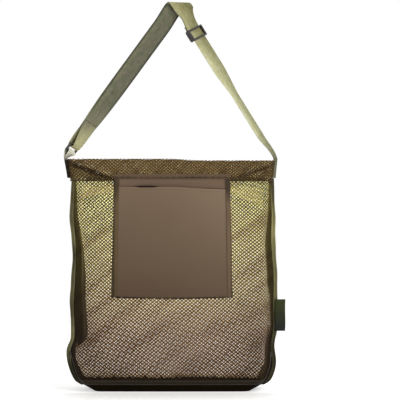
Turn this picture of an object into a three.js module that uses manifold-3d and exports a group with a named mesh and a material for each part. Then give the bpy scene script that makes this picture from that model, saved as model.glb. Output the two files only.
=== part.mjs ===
// Mesh foraging bag with a front pocket and an adjustable carrying strap.
// Millimetres, +Z up. The origin is on the floor under the middle of the base, and the front faces -Y.
import * as THREE from "three";
import Module from "manifold-3d";

const { Manifold, Mesh: Solid } = await startManifold();

// Bag
const BAG_WIDTH = 334;
const BAG_DEPTH = 96;
const BAG_HEIGHT = 386;
const HEM_HEIGHT = 37;
const HEM_TUCK = 8;
const CREASE_RADIUS = 12;
const BASE_LIP = 16;
const BASE_END = 60;
const NET_THICKNESS = 0.8;

// A coarse grid of openings, as many up each face as across it, stands for the mesh.
const NET_OPENINGS = 10;
const NET_OPEN_SHARE = 0.75;

// How the side seam, the crease and the faces stray from the plain width and depth on the way up.
// share is how far up a level lies between the base's ends and the hem.
const FLOOR_TAPER = { seam: -21, crease: -9, lean: 8, swell: 1 };
const LIP_TAPER = { seam: -8, crease: -1, lean: 12, swell: 4 };
const CORNER_FLARE = { seam: 5, crease: 0, lean: 16, swell: 6 };
const BELLY = { share: 0.3, seam: 0, crease: 0, lean: 18, swell: 7 };
const WAIST = { share: 0.58, seam: -4, crease: -2, lean: 16, swell: 6 };
const SHOULDER = { share: 0.8, seam: 0, crease: -7, lean: 12, swell: 5 };
const HEM_LINE = { seam: -2, crease: -13, lean: 5, swell: 4 };
const RIM_LINE = { seam: 1, crease: -18, lean: 3, swell: 3 };

// Seam tapes
const TAPE_WIDTH = 8;
const TAPE_THICKNESS = 0.7;
const RIDGE_REACH = 5;
const RIDGE_THICKNESS = 3.6;

// Pocket
const POCKET_WIDTH_TOP = 192;
const POCKET_WIDTH_BOTTOM = 199;
const POCKET_DROP = 26;
const POCKET_MOUTH_DROP = 20;
const POCKET_HEIGHT = 203;
const POCKET_GAPE = 10;
const POCKET_THICKNESS = 0.7;

// Side tag
const TAG_REACH = 18;
const TAG_HEIGHT = 53;
const TAG_BOTTOM = 98;
const TAG_THICKNESS = 1;

// Strap
const WEBBING_WIDTH = 30;
const WEBBING_THICKNESS = 1.4;
const STRAP_RISE = 259;
const APEX_OFFSET = 9;
const ROOT_LENGTH = 45;
const SEWN_LENGTH = 32;
const LEFT_TWIST = THREE.MathUtils.degToRad(70);
const RIGHT_TWIST = THREE.MathUtils.degToRad(47);
const TWIST_START = 8;
const TWIST_LENGTH = 30;
const LOWER_TWIST = THREE.MathUtils.degToRad(70);
const LOWER_TWIST_LENGTH = 70;
const SWING_HEIGHT = 34;

// Ring
const RING_BAR = 3.6;
const RING_PITCH = 12.6;
const RING_STANDOFF = 12;
const RING_PLAY = 2.2;
const RING_CORNER = 2.9;
const RING_SLOT_CORNER = 0.9;
const RING_BEVEL = 0.5;

// Slider
const SLIDER_LENGTH = 20;
const SLIDER_BAR = 3.2;
const SLIDER_BAR_HEIGHT = 2.4;
const SLIDER_RAIL = 3;
const SLIDER_ROUNDING = 0.35;
const SLIDER_FROM_APEX = 58;
const SLIDER_LOOP_TAIL = 18;
const SLIDER_TRAVEL = 45;

const CLEARANCE = 0.3;

// How finely the curved pieces are divided
const WING_STEPS = 2;
const CREASE_STEPS = 4;
const FACE_STEPS = 10;
const BASE_ROWS = 3;
const POCKET_STEPS = 10;
const LEG_STEP = 24;
const NEAR_STEPS = 6;
const TURN_STEPS = 6;

const { lerp, smoothstep } = THREE.MathUtils;
const Y_AXIS = new THREE.Vector3(0, 1, 0);
const X_AXIS = new THREE.Vector3(1, 0, 0);
const Z_AXIS = new THREE.Vector3(0, 0, 1);
const HEM_BOTTOM = BAG_HEIGHT - HEM_HEIGHT;
const HEM_GAP = NET_THICKNESS / 2 + CLEARANCE;
const HEM_HALF = HEM_GAP + NET_THICKNESS;
const HALF_WEBBING = WEBBING_WIDTH / 2;
const LAYER = (WEBBING_THICKNESS + CLEARANCE) / 2;
const END_STEPS = WING_STEPS + CREASE_STEPS;

const countTo = (last) => Array.from({ length: last + 1 }, (_, index) => index);
const shares = (steps) => countTo(steps).map((step) => step / steps);

// Shares of a face's width at which the columns of plain cloth stand
const PLAIN_EDGES = shares(FACE_STEPS).slice(1, -1);
const COLUMNS = 2 * END_STEPS + PLAIN_EDGES.length + 1;

// Shares of a face's width or height at which the net's openings begin and end
const NET_BORDER = (1 - NET_OPEN_SHARE) / 2;
const NET_EDGES = countTo(NET_OPENINGS - 1).flatMap((opening) =>
  [opening + NET_BORDER, opening + 1 - NET_BORDER].map((place) => place / NET_OPENINGS),
);
const NET_COLUMNS = 2 * END_STEPS + NET_EDGES.length + 1;

const part = new THREE.Group();
part.name = "mesh_foraging_bag";

async function startManifold() {
  const kernel = await Module();
  kernel.setup();
  return kernel;
}

function add(name, geometry) {
  const mesh = new THREE.Mesh(geometry, new THREE.MeshStandardMaterial());
  mesh.name = name;
  part.add(mesh);
}

// A thick sheet between two grids of points, closed along its borders.
// wrap joins the last column to the first, floor closes the last row with a flat bottom, and open tells
// which cells of the grid are cut out.
function skin(outer, inner, { wrap = false, floor = false, open = () => false } = {}) {
  const rows = outer.length;
  const columns = outer[0].length;
  const points = [...outer.flat(), ...inner.flat()];
  const faces = [];
  const out = (j, i) => j * columns + (i % columns);
  const inn = (j, i) => rows * columns + out(j, i);
  const quad = (a, b, c, d) => faces.push(a, b, c, a, c, d);
  const steps = wrap ? columns : columns - 1;
  const last = rows - 1;
  const covered = (j, i) => j >= 0 && j < last && (wrap || (i >= 0 && i < steps)) && !open(j, i);
  for (let j = 0; j < last; j += 1) {
    for (let i = 0; i < steps; i += 1) {
      if (!covered(j, i)) continue;
      quad(out(j, i), out(j, i + 1), out(j + 1, i + 1), out(j + 1, i));
      quad(inn(j, i), inn(j + 1, i), inn(j + 1, i + 1), inn(j, i + 1));
      if (!covered(j, i - 1)) quad(out(j, i), out(j + 1, i), inn(j + 1, i), inn(j, i));
      if (!covered(j, i + 1)) quad(out(j + 1, i + 1), out(j, i + 1), inn(j, i + 1), inn(j + 1, i + 1));
      if (!covered(j - 1, i)) quad(out(j, i + 1), out(j, i), inn(j, i), inn(j, i + 1));
      if (!covered(j + 1, i) && !floor) {
        quad(out(j + 1, i), out(j + 1, i + 1), inn(j + 1, i + 1), inn(j + 1, i));
      }
    }
  }
  if (floor) {
    const middle = points.length;
    points.push(middleOf(outer[last]), middleOf(inner[last]));
    for (let i = 0; i < steps; i += 1) {
      faces.push(out(last, i), out(last, i + 1), middle);
      faces.push(inn(last, i + 1), inn(last, i), middle + 1);
    }
  }
  return closedGeometry(points, faces);
}

function middleOf(ring) {
  const sum = new THREE.Vector3();
  ring.forEach((point) => sum.add(point));
  return sum.divideScalar(ring.length);
}

// Turns the faces round if they look inwards.
function closedGeometry(points, faces) {
  const corner = new THREE.Vector3();
  let volume = 0;
  for (let k = 0; k < faces.length; k += 3) {
    corner.crossVectors(points[faces[k + 1]], points[faces[k + 2]]);
    volume += points[faces[k]].dot(corner);
  }
  const ordered = volume < 0 ? faces.toReversed() : faces;
  const geometry = new THREE.BufferGeometry().setFromPoints(points);
  geometry.setIndex(ordered);
  geometry.computeVertexNormals();
  return geometry;
}

// Joins overlapping closed geometries into one body.
function join(geometries) {
  const solids = geometries.map((geometry) => {
    const mesh = new Solid({
      numProp: 3,
      vertProperties: new Float32Array(geometry.getAttribute("position").array),
      triVerts: new Uint32Array(geometry.index.array),
    });
    return new Manifold(mesh);
  });
  const mesh = Manifold.union(solids).getMesh();
  const geometry = new THREE.BufferGeometry();
  geometry.setAttribute("position", new THREE.BufferAttribute(mesh.vertProperties, 3));
  geometry.setIndex([...mesh.triVerts]);
  geometry.computeVertexNormals();
  return geometry;
}

// Outline of the bag
const BODY_SPAN = HEM_BOTTOM - BASE_END;
const LEVELS = [
  { z: 0, ...FLOOR_TAPER },
  { z: BASE_LIP, ...LIP_TAPER },
  { z: BASE_END, ...CORNER_FLARE },
  { z: BASE_END + BELLY.share * BODY_SPAN, ...BELLY },
  { z: BASE_END + WAIST.share * BODY_SPAN, ...WAIST },
  { z: BASE_END + SHOULDER.share * BODY_SPAN, ...SHOULDER },
  { z: HEM_BOTTOM, ...HEM_LINE },
  { z: BAG_HEIGHT, ...RIM_LINE },
];

// A smooth curve through one measure of the levels
function strayAt(z, key) {
  let k = LEVELS.findIndex((level) => level.z >= z);
  if (k < 0) k = LEVELS.length - 1;
  k = Math.max(k, 1);
  const [a, b] = [LEVELS[k - 1], LEVELS[k]];
  const before = LEVELS[Math.max(k - 2, 0)];
  const after = LEVELS[Math.min(k + 1, LEVELS.length - 1)];
  const span = b.z - a.z;
  const t = (z - a.z) / span;
  const slopeA = ((b[key] - before[key]) / (b.z - before.z)) * span;
  const slopeB = ((after[key] - a[key]) / (after.z - a.z)) * span;
  const rise = b[key] - a[key];
  const curve = (slopeA + slopeB - 2 * rise) * t ** 3 + (3 * rise - 2 * slopeA - slopeB) * t ** 2;
  return curve + slopeA * t + a[key];
}

const seamAt = (z) => BAG_WIDTH / 2 + strayAt(z, "seam");
const creaseAt = (z) => seamAt(z) - strayAt(z, "lean");

// Depth of the front face at a place across it, measured from the middle plane
function faceDepth(x, z) {
  const swell = strayAt(z, "swell") * (1 - (x / creaseAt(z)) ** 2);
  return BAG_DEPTH / 2 + strayAt(z, "crease") + swell;
}

// Half of the plan at one height: side seam, wing, crease, front face, crease, wing, side seam.
// edges are the shares of the face's width at which its columns stand.
function halfPlan(z, edges) {
  const seam = new THREE.Vector2(-seamAt(z), -CLEARANCE / 2);
  const crease = new THREE.Vector2(-creaseAt(z), -BAG_DEPTH / 2 - strayAt(z, "crease"));
  const wingEnd = seam.clone().sub(crease).setLength(CREASE_RADIUS).add(crease);
  const faceX = crease.x + CREASE_RADIUS;
  const faceStart = new THREE.Vector2(faceX, -faceDepth(faceX, z));
  const wing = new THREE.LineCurve(seam, wingEnd).getPoints(WING_STEPS);
  const turn = new THREE.QuadraticBezierCurve(wingEnd, crease, faceStart).getPoints(CREASE_STEPS);
  const half = [...wing, ...turn.slice(1)];
  const mirrored = half.map((point) => new THREE.Vector2(-point.x, point.y)).reverse();
  const face = edges.map((share) => {
    const x = lerp(faceX, -faceX, share);
    return new THREE.Vector2(x, -faceDepth(x, z));
  });
  return [...half, ...face, ...mirrored];
}

// Where a column of the plan meets a height, moved outwards from the middle of the cloth
function wallPoint(column, z, outwards, back = false, edges = PLAIN_EDGES) {
  const plan = halfPlan(z, edges);
  const point = plan[column];
  const normal = new THREE.Vector2(column === 0 ? -1 : 1, 0);
  if (column > 0 && column < plan.length - 1) {
    const before = point.clone().sub(plan[column - 1]).normalize();
    const after = plan[column + 1].clone().sub(point).normalize();
    const along = before.clone().add(after).normalize();
    normal.set(along.y, -along.x).divideScalar(along.dot(after));
  }
  const moved = point.clone().addScaledVector(normal, outwards);
  return new THREE.Vector3(moved.x, back ? -moved.y : moved.y, z);
}

// The base seam is low along the faces and climbs the ends.
function seamHeight(column, lastColumn = COLUMNS) {
  const fromEnd = Math.min(column, lastColumn - column);
  return lerp(BASE_END, BASE_LIP, smoothstep(fromEnd, WING_STEPS, END_STEPS));
}

const columnList = countTo(COLUMNS);

// Heights of a panel's rows at one column: its lower edge, the edge of the base tape, the edges of the
// openings, the hem and the tuck
function panelHeights(column) {
  const seam = seamHeight(column, NET_COLUMNS);
  const tapeEdge = seam + TAPE_WIDTH / 2;
  const between = [0, ...NET_EDGES, 1].map((share) => lerp(tapeEdge, HEM_BOTTOM, share));
  return [seam + CLEARANCE / 2, ...between, HEM_BOTTOM + HEM_TUCK];
}

function panel(back) {
  const columns = countTo(NET_COLUMNS);
  const heights = columns.map(panelHeights);
  const grid = (outwards) =>
    heights[0].map((_, row) =>
      columns.map((column) => wallPoint(column, heights[column][row], outwards, back, NET_EDGES)),
    );
  const openAt = (edge) => edge >= 0 && edge < NET_EDGES.length && edge % 2 === 0;
  const open = (row, column) => openAt(row - 2) && openAt(column - END_STEPS - 1);
  return skin(grid(NET_THICKNESS / 2), grid(-NET_THICKNESS / 2), { open });
}

add("front_panel", panel(false));
add("back_panel", panel(true));

// Each hem is folded over the rim, with the top of its panel between the two layers.
function hem(back) {
  const fold = BAG_HEIGHT - HEM_HALF;
  const profile = (half, top) => [
    [half, HEM_BOTTOM],
    [half, HEM_BOTTOM + HEM_TUCK],
    [half, fold],
    [0, top],
    [-half, fold],
    [-half, HEM_BOTTOM + HEM_TUCK],
    [-half, HEM_BOTTOM],
  ];
  const grid = (half, top) =>
    columnList.map((column) =>
      profile(half, top).map(([outwards, z]) => wallPoint(column, z, outwards, back)),
    );
  return skin(grid(HEM_HALF, BAG_HEIGHT), grid(HEM_GAP, BAG_HEIGHT - NET_THICKNESS));
}

add("front_hem", hem(false));
add("back_hem", hem(true));

// Full rings round the bag, for the base and the tape over its seam
function ringRow(heightOf, outwards) {
  const place = (column, back) => {
    const point = wallPoint(column, heightOf(column), outwards, back);
    if (column === 0 || column === COLUMNS) point.y = 0;
    return point;
  };
  const front = columnList.map((column) => place(column, false));
  const behind = columnList.slice(1, -1).reverse();
  return [...front, ...behind.map((column) => place(column, true))];
}

function basePanel() {
  const grid = (outwards, bottom) => {
    const tapeEdge = (column) => seamHeight(column) - TAPE_WIDTH / 2;
    const rows = shares(BASE_ROWS).map((share) =>
      ringRow((column) => lerp(tapeEdge(column), bottom, share), outwards),
    );
    return [ringRow((column) => seamHeight(column) - CLEARANCE / 2, outwards), ...rows];
  };
  const half = NET_THICKNESS / 2;
  return skin(grid(half, 0), grid(-half, NET_THICKNESS), { wrap: true, floor: true });
}

function baseBinding() {
  const rise = TAPE_WIDTH / 2;
  const grid = (outwards) =>
    [rise, 0, -rise].map((step) => ringRow((column) => seamHeight(column) + step, outwards));
  return skin(grid(HEM_GAP + TAPE_THICKNESS), grid(HEM_GAP), { wrap: true });
}

add("base_panel", basePanel());
add("base_binding", baseBinding());

// A bound seam stands out from each side as a narrow ridge.
const ridgeHeights = panelHeights(0).slice(1, -1);
ridgeHeights[0] += CLEARANCE;
ridgeHeights[ridgeHeights.length - 1] -= CLEARANCE;

function sideBinding(side) {
  const half = RIDGE_THICKNESS / 2;
  const profile = [
    [0, half],
    [RIDGE_REACH - half, half],
    [RIDGE_REACH, half / 2],
  ];
  const grid = (face) =>
    ridgeHeights.map((z) => {
      const foot = seamAt(z) + HEM_GAP;
      return profile.map(([reach, depth]) => new THREE.Vector3(side * (foot + reach), face * depth, z));
    });
  return skin(grid(-1), grid(1));
}

add("left_side_binding", sideBinding(-1));
add("right_side_binding", sideBinding(1));

// The tag is sewn flat against the front of the right side's ridge.
function sideTag() {
  const near = RIDGE_THICKNESS / 2 + CLEARANCE;
  const grid = (depth) =>
    [0, 0.5, 1].map((share) => {
      const z = TAG_BOTTOM + share * TAG_HEIGHT;
      const foot = seamAt(z) + HEM_GAP;
      return [foot, foot + TAG_REACH].map((x) => new THREE.Vector3(x, -depth, z));
    });
  return skin(grid(near + TAG_THICKNESS), grid(near));
}

add("side_tag", sideTag());

// Pocket
const POCKET_TOP = BAG_HEIGHT - POCKET_DROP;
const POCKET_BOTTOM = POCKET_TOP - POCKET_HEIGHT;
const POCKET_MOUTH = POCKET_TOP - POCKET_MOUTH_DROP;
const BACKING_OFFSET = HEM_HALF + CLEARANCE;
const FRONT_OFFSET = BACKING_OFFSET + POCKET_THICKNESS + CLEARANCE;
const TAPE_OFFSET = FRONT_OFFSET + POCKET_THICKNESS + CLEARANCE;

function pocketHalf(z) {
  return lerp(POCKET_WIDTH_BOTTOM, POCKET_WIDTH_TOP, (z - POCKET_BOTTOM) / POCKET_HEIGHT) / 2;
}

// How far the pocket's front stands away: nothing at its sewn edges, most at the mouth
function gapeAt(x, z) {
  const flat = pocketHalf(z) - TAPE_WIDTH;
  const across = Math.max(0, 1 - (x / flat) ** 2);
  return POCKET_GAPE * across * smoothstep(z, POCKET_BOTTOM, POCKET_MOUTH);
}

// A sheet lying on the front face. placesAt gives the places across it at a height.
function faceSheet(placesAt, bottom, top, offset, thickness, gape = () => 0) {
  const grid = (outwards) =>
    shares(POCKET_STEPS).map((share) => {
      const z = lerp(bottom, top, share);
      return placesAt(z).map((x) => new THREE.Vector3(x, -faceDepth(x, z) - outwards - gape(x, z), z));
    });
  return skin(grid(offset + thickness), grid(offset));
}

// The pocket lies flat under its side tapes.
function wholePocket(z) {
  const half = pocketHalf(z);
  const flat = half - TAPE_WIDTH;
  const middle = shares(POCKET_STEPS).map((share) => lerp(-flat, flat, share));
  return [-half, ...middle, half];
}

const leftEdge = (z) => wholePocket(z).slice(0, 2);
const rightEdge = (z) => wholePocket(z).slice(-2);
const TOP_TAPE_BOTTOM = POCKET_TOP - TAPE_WIDTH;

const SIDE_TAPE_TOP = TOP_TAPE_BOTTOM - CLEARANCE;

add(
  "pocket_backing",
  faceSheet(wholePocket, POCKET_BOTTOM, POCKET_TOP, BACKING_OFFSET, POCKET_THICKNESS),
);
add(
  "pocket_front",
  faceSheet(wholePocket, POCKET_BOTTOM, POCKET_MOUTH, FRONT_OFFSET, POCKET_THICKNESS, gapeAt),
);
add(
  "pocket_top_tape",
  faceSheet(wholePocket, TOP_TAPE_BOTTOM, POCKET_TOP, FRONT_OFFSET, TAPE_THICKNESS),
);
add(
  "pocket_left_tape",
  faceSheet(leftEdge, POCKET_BOTTOM, SIDE_TAPE_TOP, TAPE_OFFSET, TAPE_THICKNESS),
);
add(
  "pocket_right_tape",
  faceSheet(rightEdge, POCKET_BOTTOM, SIDE_TAPE_TOP, TAPE_OFFSET, TAPE_THICKNESS),
);

// A strip of webbing through stations, each with a middle, half a width and the way its face looks
function ribbon(stations) {
  const grid = (side) =>
    stations.map(({ at, half, face }) =>
      [-1, 1].map((edge) =>
        at
          .clone()
          .addScaledVector(half, edge)
          .addScaledVector(face, (side * WEBBING_THICKNESS) / 2),
      ),
    );
  return skin(grid(1), grid(-1));
}

function station(at, half, face) {
  return { at, half, face };
}

// Stations between two others, along a smooth curve that leaves and arrives along the given ways
function bridge(from, wayOut, to, wayIn, count) {
  const reach = from.at.distanceTo(to.at);
  const curve = new THREE.CubicBezierCurve3(
    from.at,
    from.at.clone().addScaledVector(wayOut, reach / 3),
    to.at.clone().addScaledVector(wayIn, -reach / 3),
    to.at,
  );
  const between = shares(count + 1).slice(1, -1);
  return between.map((t) => {
    const half = from.half.clone().lerp(to.half, t).setLength(HALF_WEBBING);
    const face = from.face.clone().lerp(to.face, t).normalize();
    return station(curve.getPoint(t), half, face);
  });
}

// Ring's lower bar, the strap's fold at the top and the sewn end on the right
const SEWN_OFFSET = HEM_HALF + 2 * CLEARANCE + WEBBING_THICKNESS / 2;
const SEWN_BOTTOM = BAG_HEIGHT - SEWN_LENGTH;
const foldRadius = 2 * LAYER + CLEARANCE / 2;
const tabMiddle = seamAt(BAG_HEIGHT) + SEWN_OFFSET + LAYER;
const lowerBar = new THREE.Vector3(-tabMiddle, 0, BAG_HEIGHT + RING_STANDOFF);
const fold = new THREE.Vector3(APEX_OFFSET, 0, BAG_HEIGHT + STRAP_RISE);
const leftFold = fold.clone().addScaledVector(Y_AXIS, foldRadius);
const rightFold = fold.clone().addScaledVector(Y_AXIS, -foldRadius);
const rightEnd = new THREE.Vector3(seamAt(BAG_HEIGHT) + SEWN_OFFSET - LAYER, 0, BAG_HEIGHT);
const ringUp = leftFold.clone().sub(lowerBar).normalize();
const upperBar = lowerBar.clone().addScaledVector(ringUp, RING_PITCH);
const leftDown = ringUp.clone().negate();
const rightDown = rightEnd.clone().sub(rightFold).normalize();
const leftLength = leftFold.distanceTo(upperBar);
const rightLength = rightFold.distanceTo(rightEnd);

// The strap is folded flat over itself at the top, along a line that mirrors one leg onto the other.
const foldLine = rightDown.clone().sub(leftDown).setY(0).normalize();
const foldUp = new THREE.Vector3().crossVectors(foldLine, Y_AXIS);
const skewHalf = HALF_WEBBING / Math.sin(foldLine.angleTo(rightDown));

function leg(down, outerFace) {
  const across = foldLine.clone().addScaledVector(down, -foldLine.dot(down)).normalize();
  const outwards = Y_AXIS.clone().multiplyScalar(outerFace);
  const frame = (twist) => ({
    half: across.clone().multiplyScalar(Math.cos(twist)).addScaledVector(Y_AXIS, Math.sin(twist)),
    face: outwards
      .clone()
      .multiplyScalar(Math.cos(twist))
      .addScaledVector(across, -outerFace * Math.sin(twist)),
  });
  return { down, frame };
}

const leftLeg = { ...leg(leftDown, 1), start: leftFold, twistAt: leftTwistAt };
const rightLeg = { ...leg(rightDown, -1), start: rightFold, twistAt: rightTwistAt };

// The left leg turns most of its way just above the ring.
function leftTwistAt(distance) {
  return LEFT_TWIST * (distance / leftLength) ** 3;
}

// The right leg is steady where the slider runs and turns further below it.
function rightTwistAt(distance) {
  const steady = SLIDER_FROM_APEX + SLIDER_TRAVEL + SLIDER_LENGTH;
  const upper = RIGHT_TWIST * smoothstep(distance, TWIST_START, TWIST_START + TWIST_LENGTH);
  const further = smoothstep(distance, steady, steady + LOWER_TWIST_LENGTH);
  return lerp(upper, LOWER_TWIST, further);
}

// One place along a leg, on the layer that lies a given way out from the strap's middle
function legStation({ start, down, frame, twistAt }, distance, layer) {
  const { half, face } = frame(twistAt(distance));
  const square = half.clone().multiplyScalar(HALF_WEBBING);
  const skew = foldLine.clone().multiplyScalar(skewHalf);
  const width = skew.lerp(square, smoothstep(distance, 0, skewHalf * 2));
  const at = start.clone().addScaledVector(down, distance).addScaledVector(face, layer);
  return station(at, width, face);
}

function legStations(side, from, to, layer) {
  const count = Math.max(2, Math.ceil(Math.abs(to - from) / LEG_STEP));
  return shares(count).map((share) => legStation(side, lerp(from, to, share), layer));
}

function foldStations(layer) {
  const between = shares(TURN_STEPS).slice(1, -1);
  return between.map((share) => {
    const turn = lerp(-Math.PI / 2, Math.PI / 2, share);
    const face = foldUp.clone().multiplyScalar(Math.cos(turn)).addScaledVector(Y_AXIS, Math.sin(turn));
    const at = fold.clone().addScaledVector(face, foldRadius + layer);
    return station(at, foldLine.clone().multiplyScalar(skewHalf), face);
  });
}

// Distances from the fold over which the legs turn fast
const twistEnd = TWIST_START + TWIST_LENGTH;
const nearFold = shares(NEAR_STEPS).map((share) => twistEnd * share);
const returnEnd = nearFold[Math.floor(NEAR_STEPS / 2)];

function wholeStrap(layer, rightStop, leftStop) {
  const rightNear = nearFold.filter((distance) => distance <= rightStop).reverse();
  const reachesOn = rightStop > twistEnd;
  const rightFar = reachesOn ? legStations(rightLeg, rightStop, twistEnd, layer).slice(0, -1) : [];
  return ribbon([
    ...rightFar,
    ...rightNear.map((distance) => legStation(rightLeg, distance, layer)),
    ...foldStations(layer),
    ...nearFold.map((distance) => legStation(leftLeg, distance, layer)),
    ...legStations(leftLeg, twistEnd, leftStop, layer).slice(1),
  ]);
}

const leftJoin = leftLength - ROOT_LENGTH;
const rightJoin = rightLength - ROOT_LENGTH;
const loopStart = SLIDER_FROM_APEX - SLIDER_LOOP_TAIL;

add("strap_outer", wholeStrap(LAYER, rightJoin, leftJoin));
add("strap_return", wholeStrap(-LAYER, returnEnd, leftJoin));

// The stretch of the return layer that grows and shrinks as the slider moves
const tailBends = nearFold.filter((distance) => distance > returnEnd && distance < loopStart - CLEARANCE);
const tailPlaces = [returnEnd + CLEARANCE, ...tailBends, loopStart - CLEARANCE];
add("strap_tail", ribbon(tailPlaces.map((distance) => legStation(rightLeg, distance, -LAYER))));

// Sewn end on the right, and the free stretch above it
const sewnHalf = Y_AXIS.clone().multiplyScalar(HALF_WEBBING);

function sewnStation(side, z, extra) {
  const x = seamAt(Math.min(z, BAG_HEIGHT)) + SEWN_OFFSET + extra;
  return station(new THREE.Vector3(side * x, 0, z), sewnHalf, X_AXIS.clone().multiplyScalar(side));
}

const sewnHeights = [SEWN_BOTTOM, BAG_HEIGHT - SEWN_LENGTH / 2, BAG_HEIGHT];
add("strap_anchor", ribbon(sewnHeights.map((z) => sewnStation(1, z, 0))));

const rootFoot = sewnStation(1, BAG_HEIGHT + CLEARANCE, 0);
const rootTop = legStation(rightLeg, rightJoin + CLEARANCE, LAYER);
const rightUp = rightDown.clone().negate();
add("strap_right_root", ribbon([rootFoot, ...bridge(rootFoot, Z_AXIS, rootTop, rightUp, 4), rootTop]));

// The strap's end loop goes down outside the ring's upper bar and comes back up inside it.
const ringFrame = leftLeg.frame(LEFT_TWIST);
const barHalf = RING_BAR / 2;
const loopRadius = barHalf + RING_PLAY + CLEARANCE + WEBBING_THICKNESS / 2;

// Turns round a bar from one side to the other, by way of the given direction
function barTurn(centre, radius, side, way) {
  return shares(TURN_STEPS).map((share) => {
    const turn = Math.PI * share;
    const face = side.clone().multiplyScalar(Math.cos(turn)).addScaledVector(way, Math.sin(turn));
    const half = ringFrame.half.clone().multiplyScalar(HALF_WEBBING);
    return station(centre.clone().addScaledVector(face, radius), half, face);
  });
}

function leftRoot() {
  const outerTop = legStation(leftLeg, leftJoin + CLEARANCE, LAYER);
  const innerTop = legStation(leftLeg, leftJoin + CLEARANCE, -LAYER);
  innerTop.face = innerTop.face.clone().negate();
  const turn = barTurn(upperBar, loopRadius, ringFrame.face, leftDown);
  const downwards = bridge(outerTop, leftDown, turn[0], leftDown, 3);
  const upwards = bridge(turn.at(-1), ringUp, innerTop, ringUp, 3);
  return ribbon([outerTop, ...downwards, ...turn, ...upwards, innerTop]);
}

add("strap_left_root", leftRoot());

// The tab is sewn to the left end of the hem and holds the ring's lower bar in its fold.
const tabRadius = barHalf * Math.SQRT2 + 2 * CLEARANCE + WEBBING_THICKNESS / 2;

function ringTab() {
  const layer = (extra, way) =>
    sewnHeights.map((z) => {
      const place = sewnStation(-1, z, extra);
      return station(place.at, place.half, X_AXIS.clone().multiplyScalar(way));
    });
  const inner = layer(0, 1);
  const outer = layer(2 * LAYER, -1).reverse();
  const turn = barTurn(lowerBar, tabRadius, ringFrame.face.clone().negate(), ringUp);
  const upwards = bridge(inner.at(-1), Z_AXIS, turn[0], ringUp, 2);
  const downwards = bridge(turn.at(-1), leftDown, outer[0], Z_AXIS.clone().negate(), 2);
  return ribbon([...inner, ...upwards, ...turn, ...downwards, ...outer]);
}

add("ring_tab", ringTab());

// A rectangle with round corners about the origin
function roundRectangle(width, height, radius, target = new THREE.Shape()) {
  const [x, y] = [width / 2, height / 2];
  target.moveTo(radius - x, -y);
  target.lineTo(x - radius, -y);
  target.absarc(x - radius, radius - y, radius, -Math.PI / 2, 0);
  target.lineTo(x, y - radius);
  target.absarc(x - radius, y - radius, radius, 0, Math.PI / 2);
  target.lineTo(radius - x, y);
  target.absarc(radius - x, y - radius, radius, Math.PI / 2, Math.PI);
  target.lineTo(-x, radius - y);
  target.absarc(radius - x, radius - y, radius, Math.PI, 1.5 * Math.PI);
  return target;
}

function ring() {
  const slotWidth = WEBBING_WIDTH + 2 * (CLEARANCE + RING_SLOT_CORNER);
  const slotHeight = RING_PITCH - RING_BAR;
  const outline = roundRectangle(slotWidth + 2 * RING_BAR, RING_PITCH + RING_BAR, RING_CORNER);
  outline.holes.push(roundRectangle(slotWidth, slotHeight, RING_SLOT_CORNER, new THREE.Path()));
  const geometry = new THREE.ExtrudeGeometry(outline, {
    depth: RING_BAR - 2 * RING_BEVEL,
    bevelSize: RING_BEVEL,
    bevelThickness: RING_BEVEL,
    bevelOffset: -RING_BEVEL,
    bevelSegments: 1,
    curveSegments: 4,
  });
  geometry.translate(0, 0, RING_BEVEL - RING_BAR / 2);
  const place = new THREE.Matrix4().makeBasis(
    ringFrame.half,
    ringUp,
    new THREE.Vector3().crossVectors(ringFrame.half, ringUp),
  );
  place.setPosition(lowerBar.clone().addScaledVector(ringUp, RING_PITCH / 2));
  return geometry.applyMatrix4(place);
}

add("ring", ring());

// Slider: end bars in front of the webbing and a middle bar behind it, between two rails
const sliderFrame = rightLeg.frame(RIGHT_TWIST);
const sliderMiddle = rightFold.clone().addScaledVector(rightDown, SLIDER_FROM_APEX);
const frontLevel = LAYER + WEBBING_THICKNESS / 2 + CLEARANCE;

function sliderBar(along, level, width, length, height) {
  const outline = roundRectangle(length, height, height * SLIDER_ROUNDING);
  const geometry = new THREE.ExtrudeGeometry(outline, {
    depth: width,
    bevelEnabled: false,
    curveSegments: 3,
  });
  geometry.translate(along, level, -width / 2);
  return geometry;
}

function welded(geometry) {
  const source = geometry.getAttribute("position");
  const points = [];
  const seen = new Map();
  const faces = [];
  for (let k = 0; k < source.count; k += 1) {
    const point = new THREE.Vector3().fromBufferAttribute(source, k);
    const key = point.toArray().map((value) => value.toFixed(4)).join();
    if (!seen.has(key)) {
      seen.set(key, points.length);
      points.push(point);
    }
    faces.push(seen.get(key));
  }
  return closedGeometry(points, faces);
}

function slider() {
  const railAt = HALF_WEBBING + 2 * CLEARANCE + SLIDER_RAIL / 2;
  const wide = 2 * railAt + SLIDER_RAIL;
  const reach = (SLIDER_LENGTH - SLIDER_BAR) / 2;
  const level = frontLevel + SLIDER_BAR_HEIGHT / 2;
  const bars = [-reach, reach].map((along) => sliderBar(along, level, wide, SLIDER_BAR, SLIDER_BAR_HEIGHT));
  bars.push(sliderBar(0, -level, wide, SLIDER_BAR, SLIDER_BAR_HEIGHT));
  const rail = sliderBar(0, 0, SLIDER_RAIL, SLIDER_LENGTH, 2 * frontLevel + 2 * SLIDER_BAR_HEIGHT);
  const rails = [-railAt, railAt].map((across) => rail.clone().translate(0, 0, across));
  const whole = join([...bars, ...rails].map(welded));
  const place = new THREE.Matrix4().makeBasis(
    rightDown,
    sliderFrame.face,
    new THREE.Vector3().crossVectors(rightDown, sliderFrame.face),
  );
  place.setPosition(sliderMiddle);
  return whole.applyMatrix4(place);
}

add("slider", slider());

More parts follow.
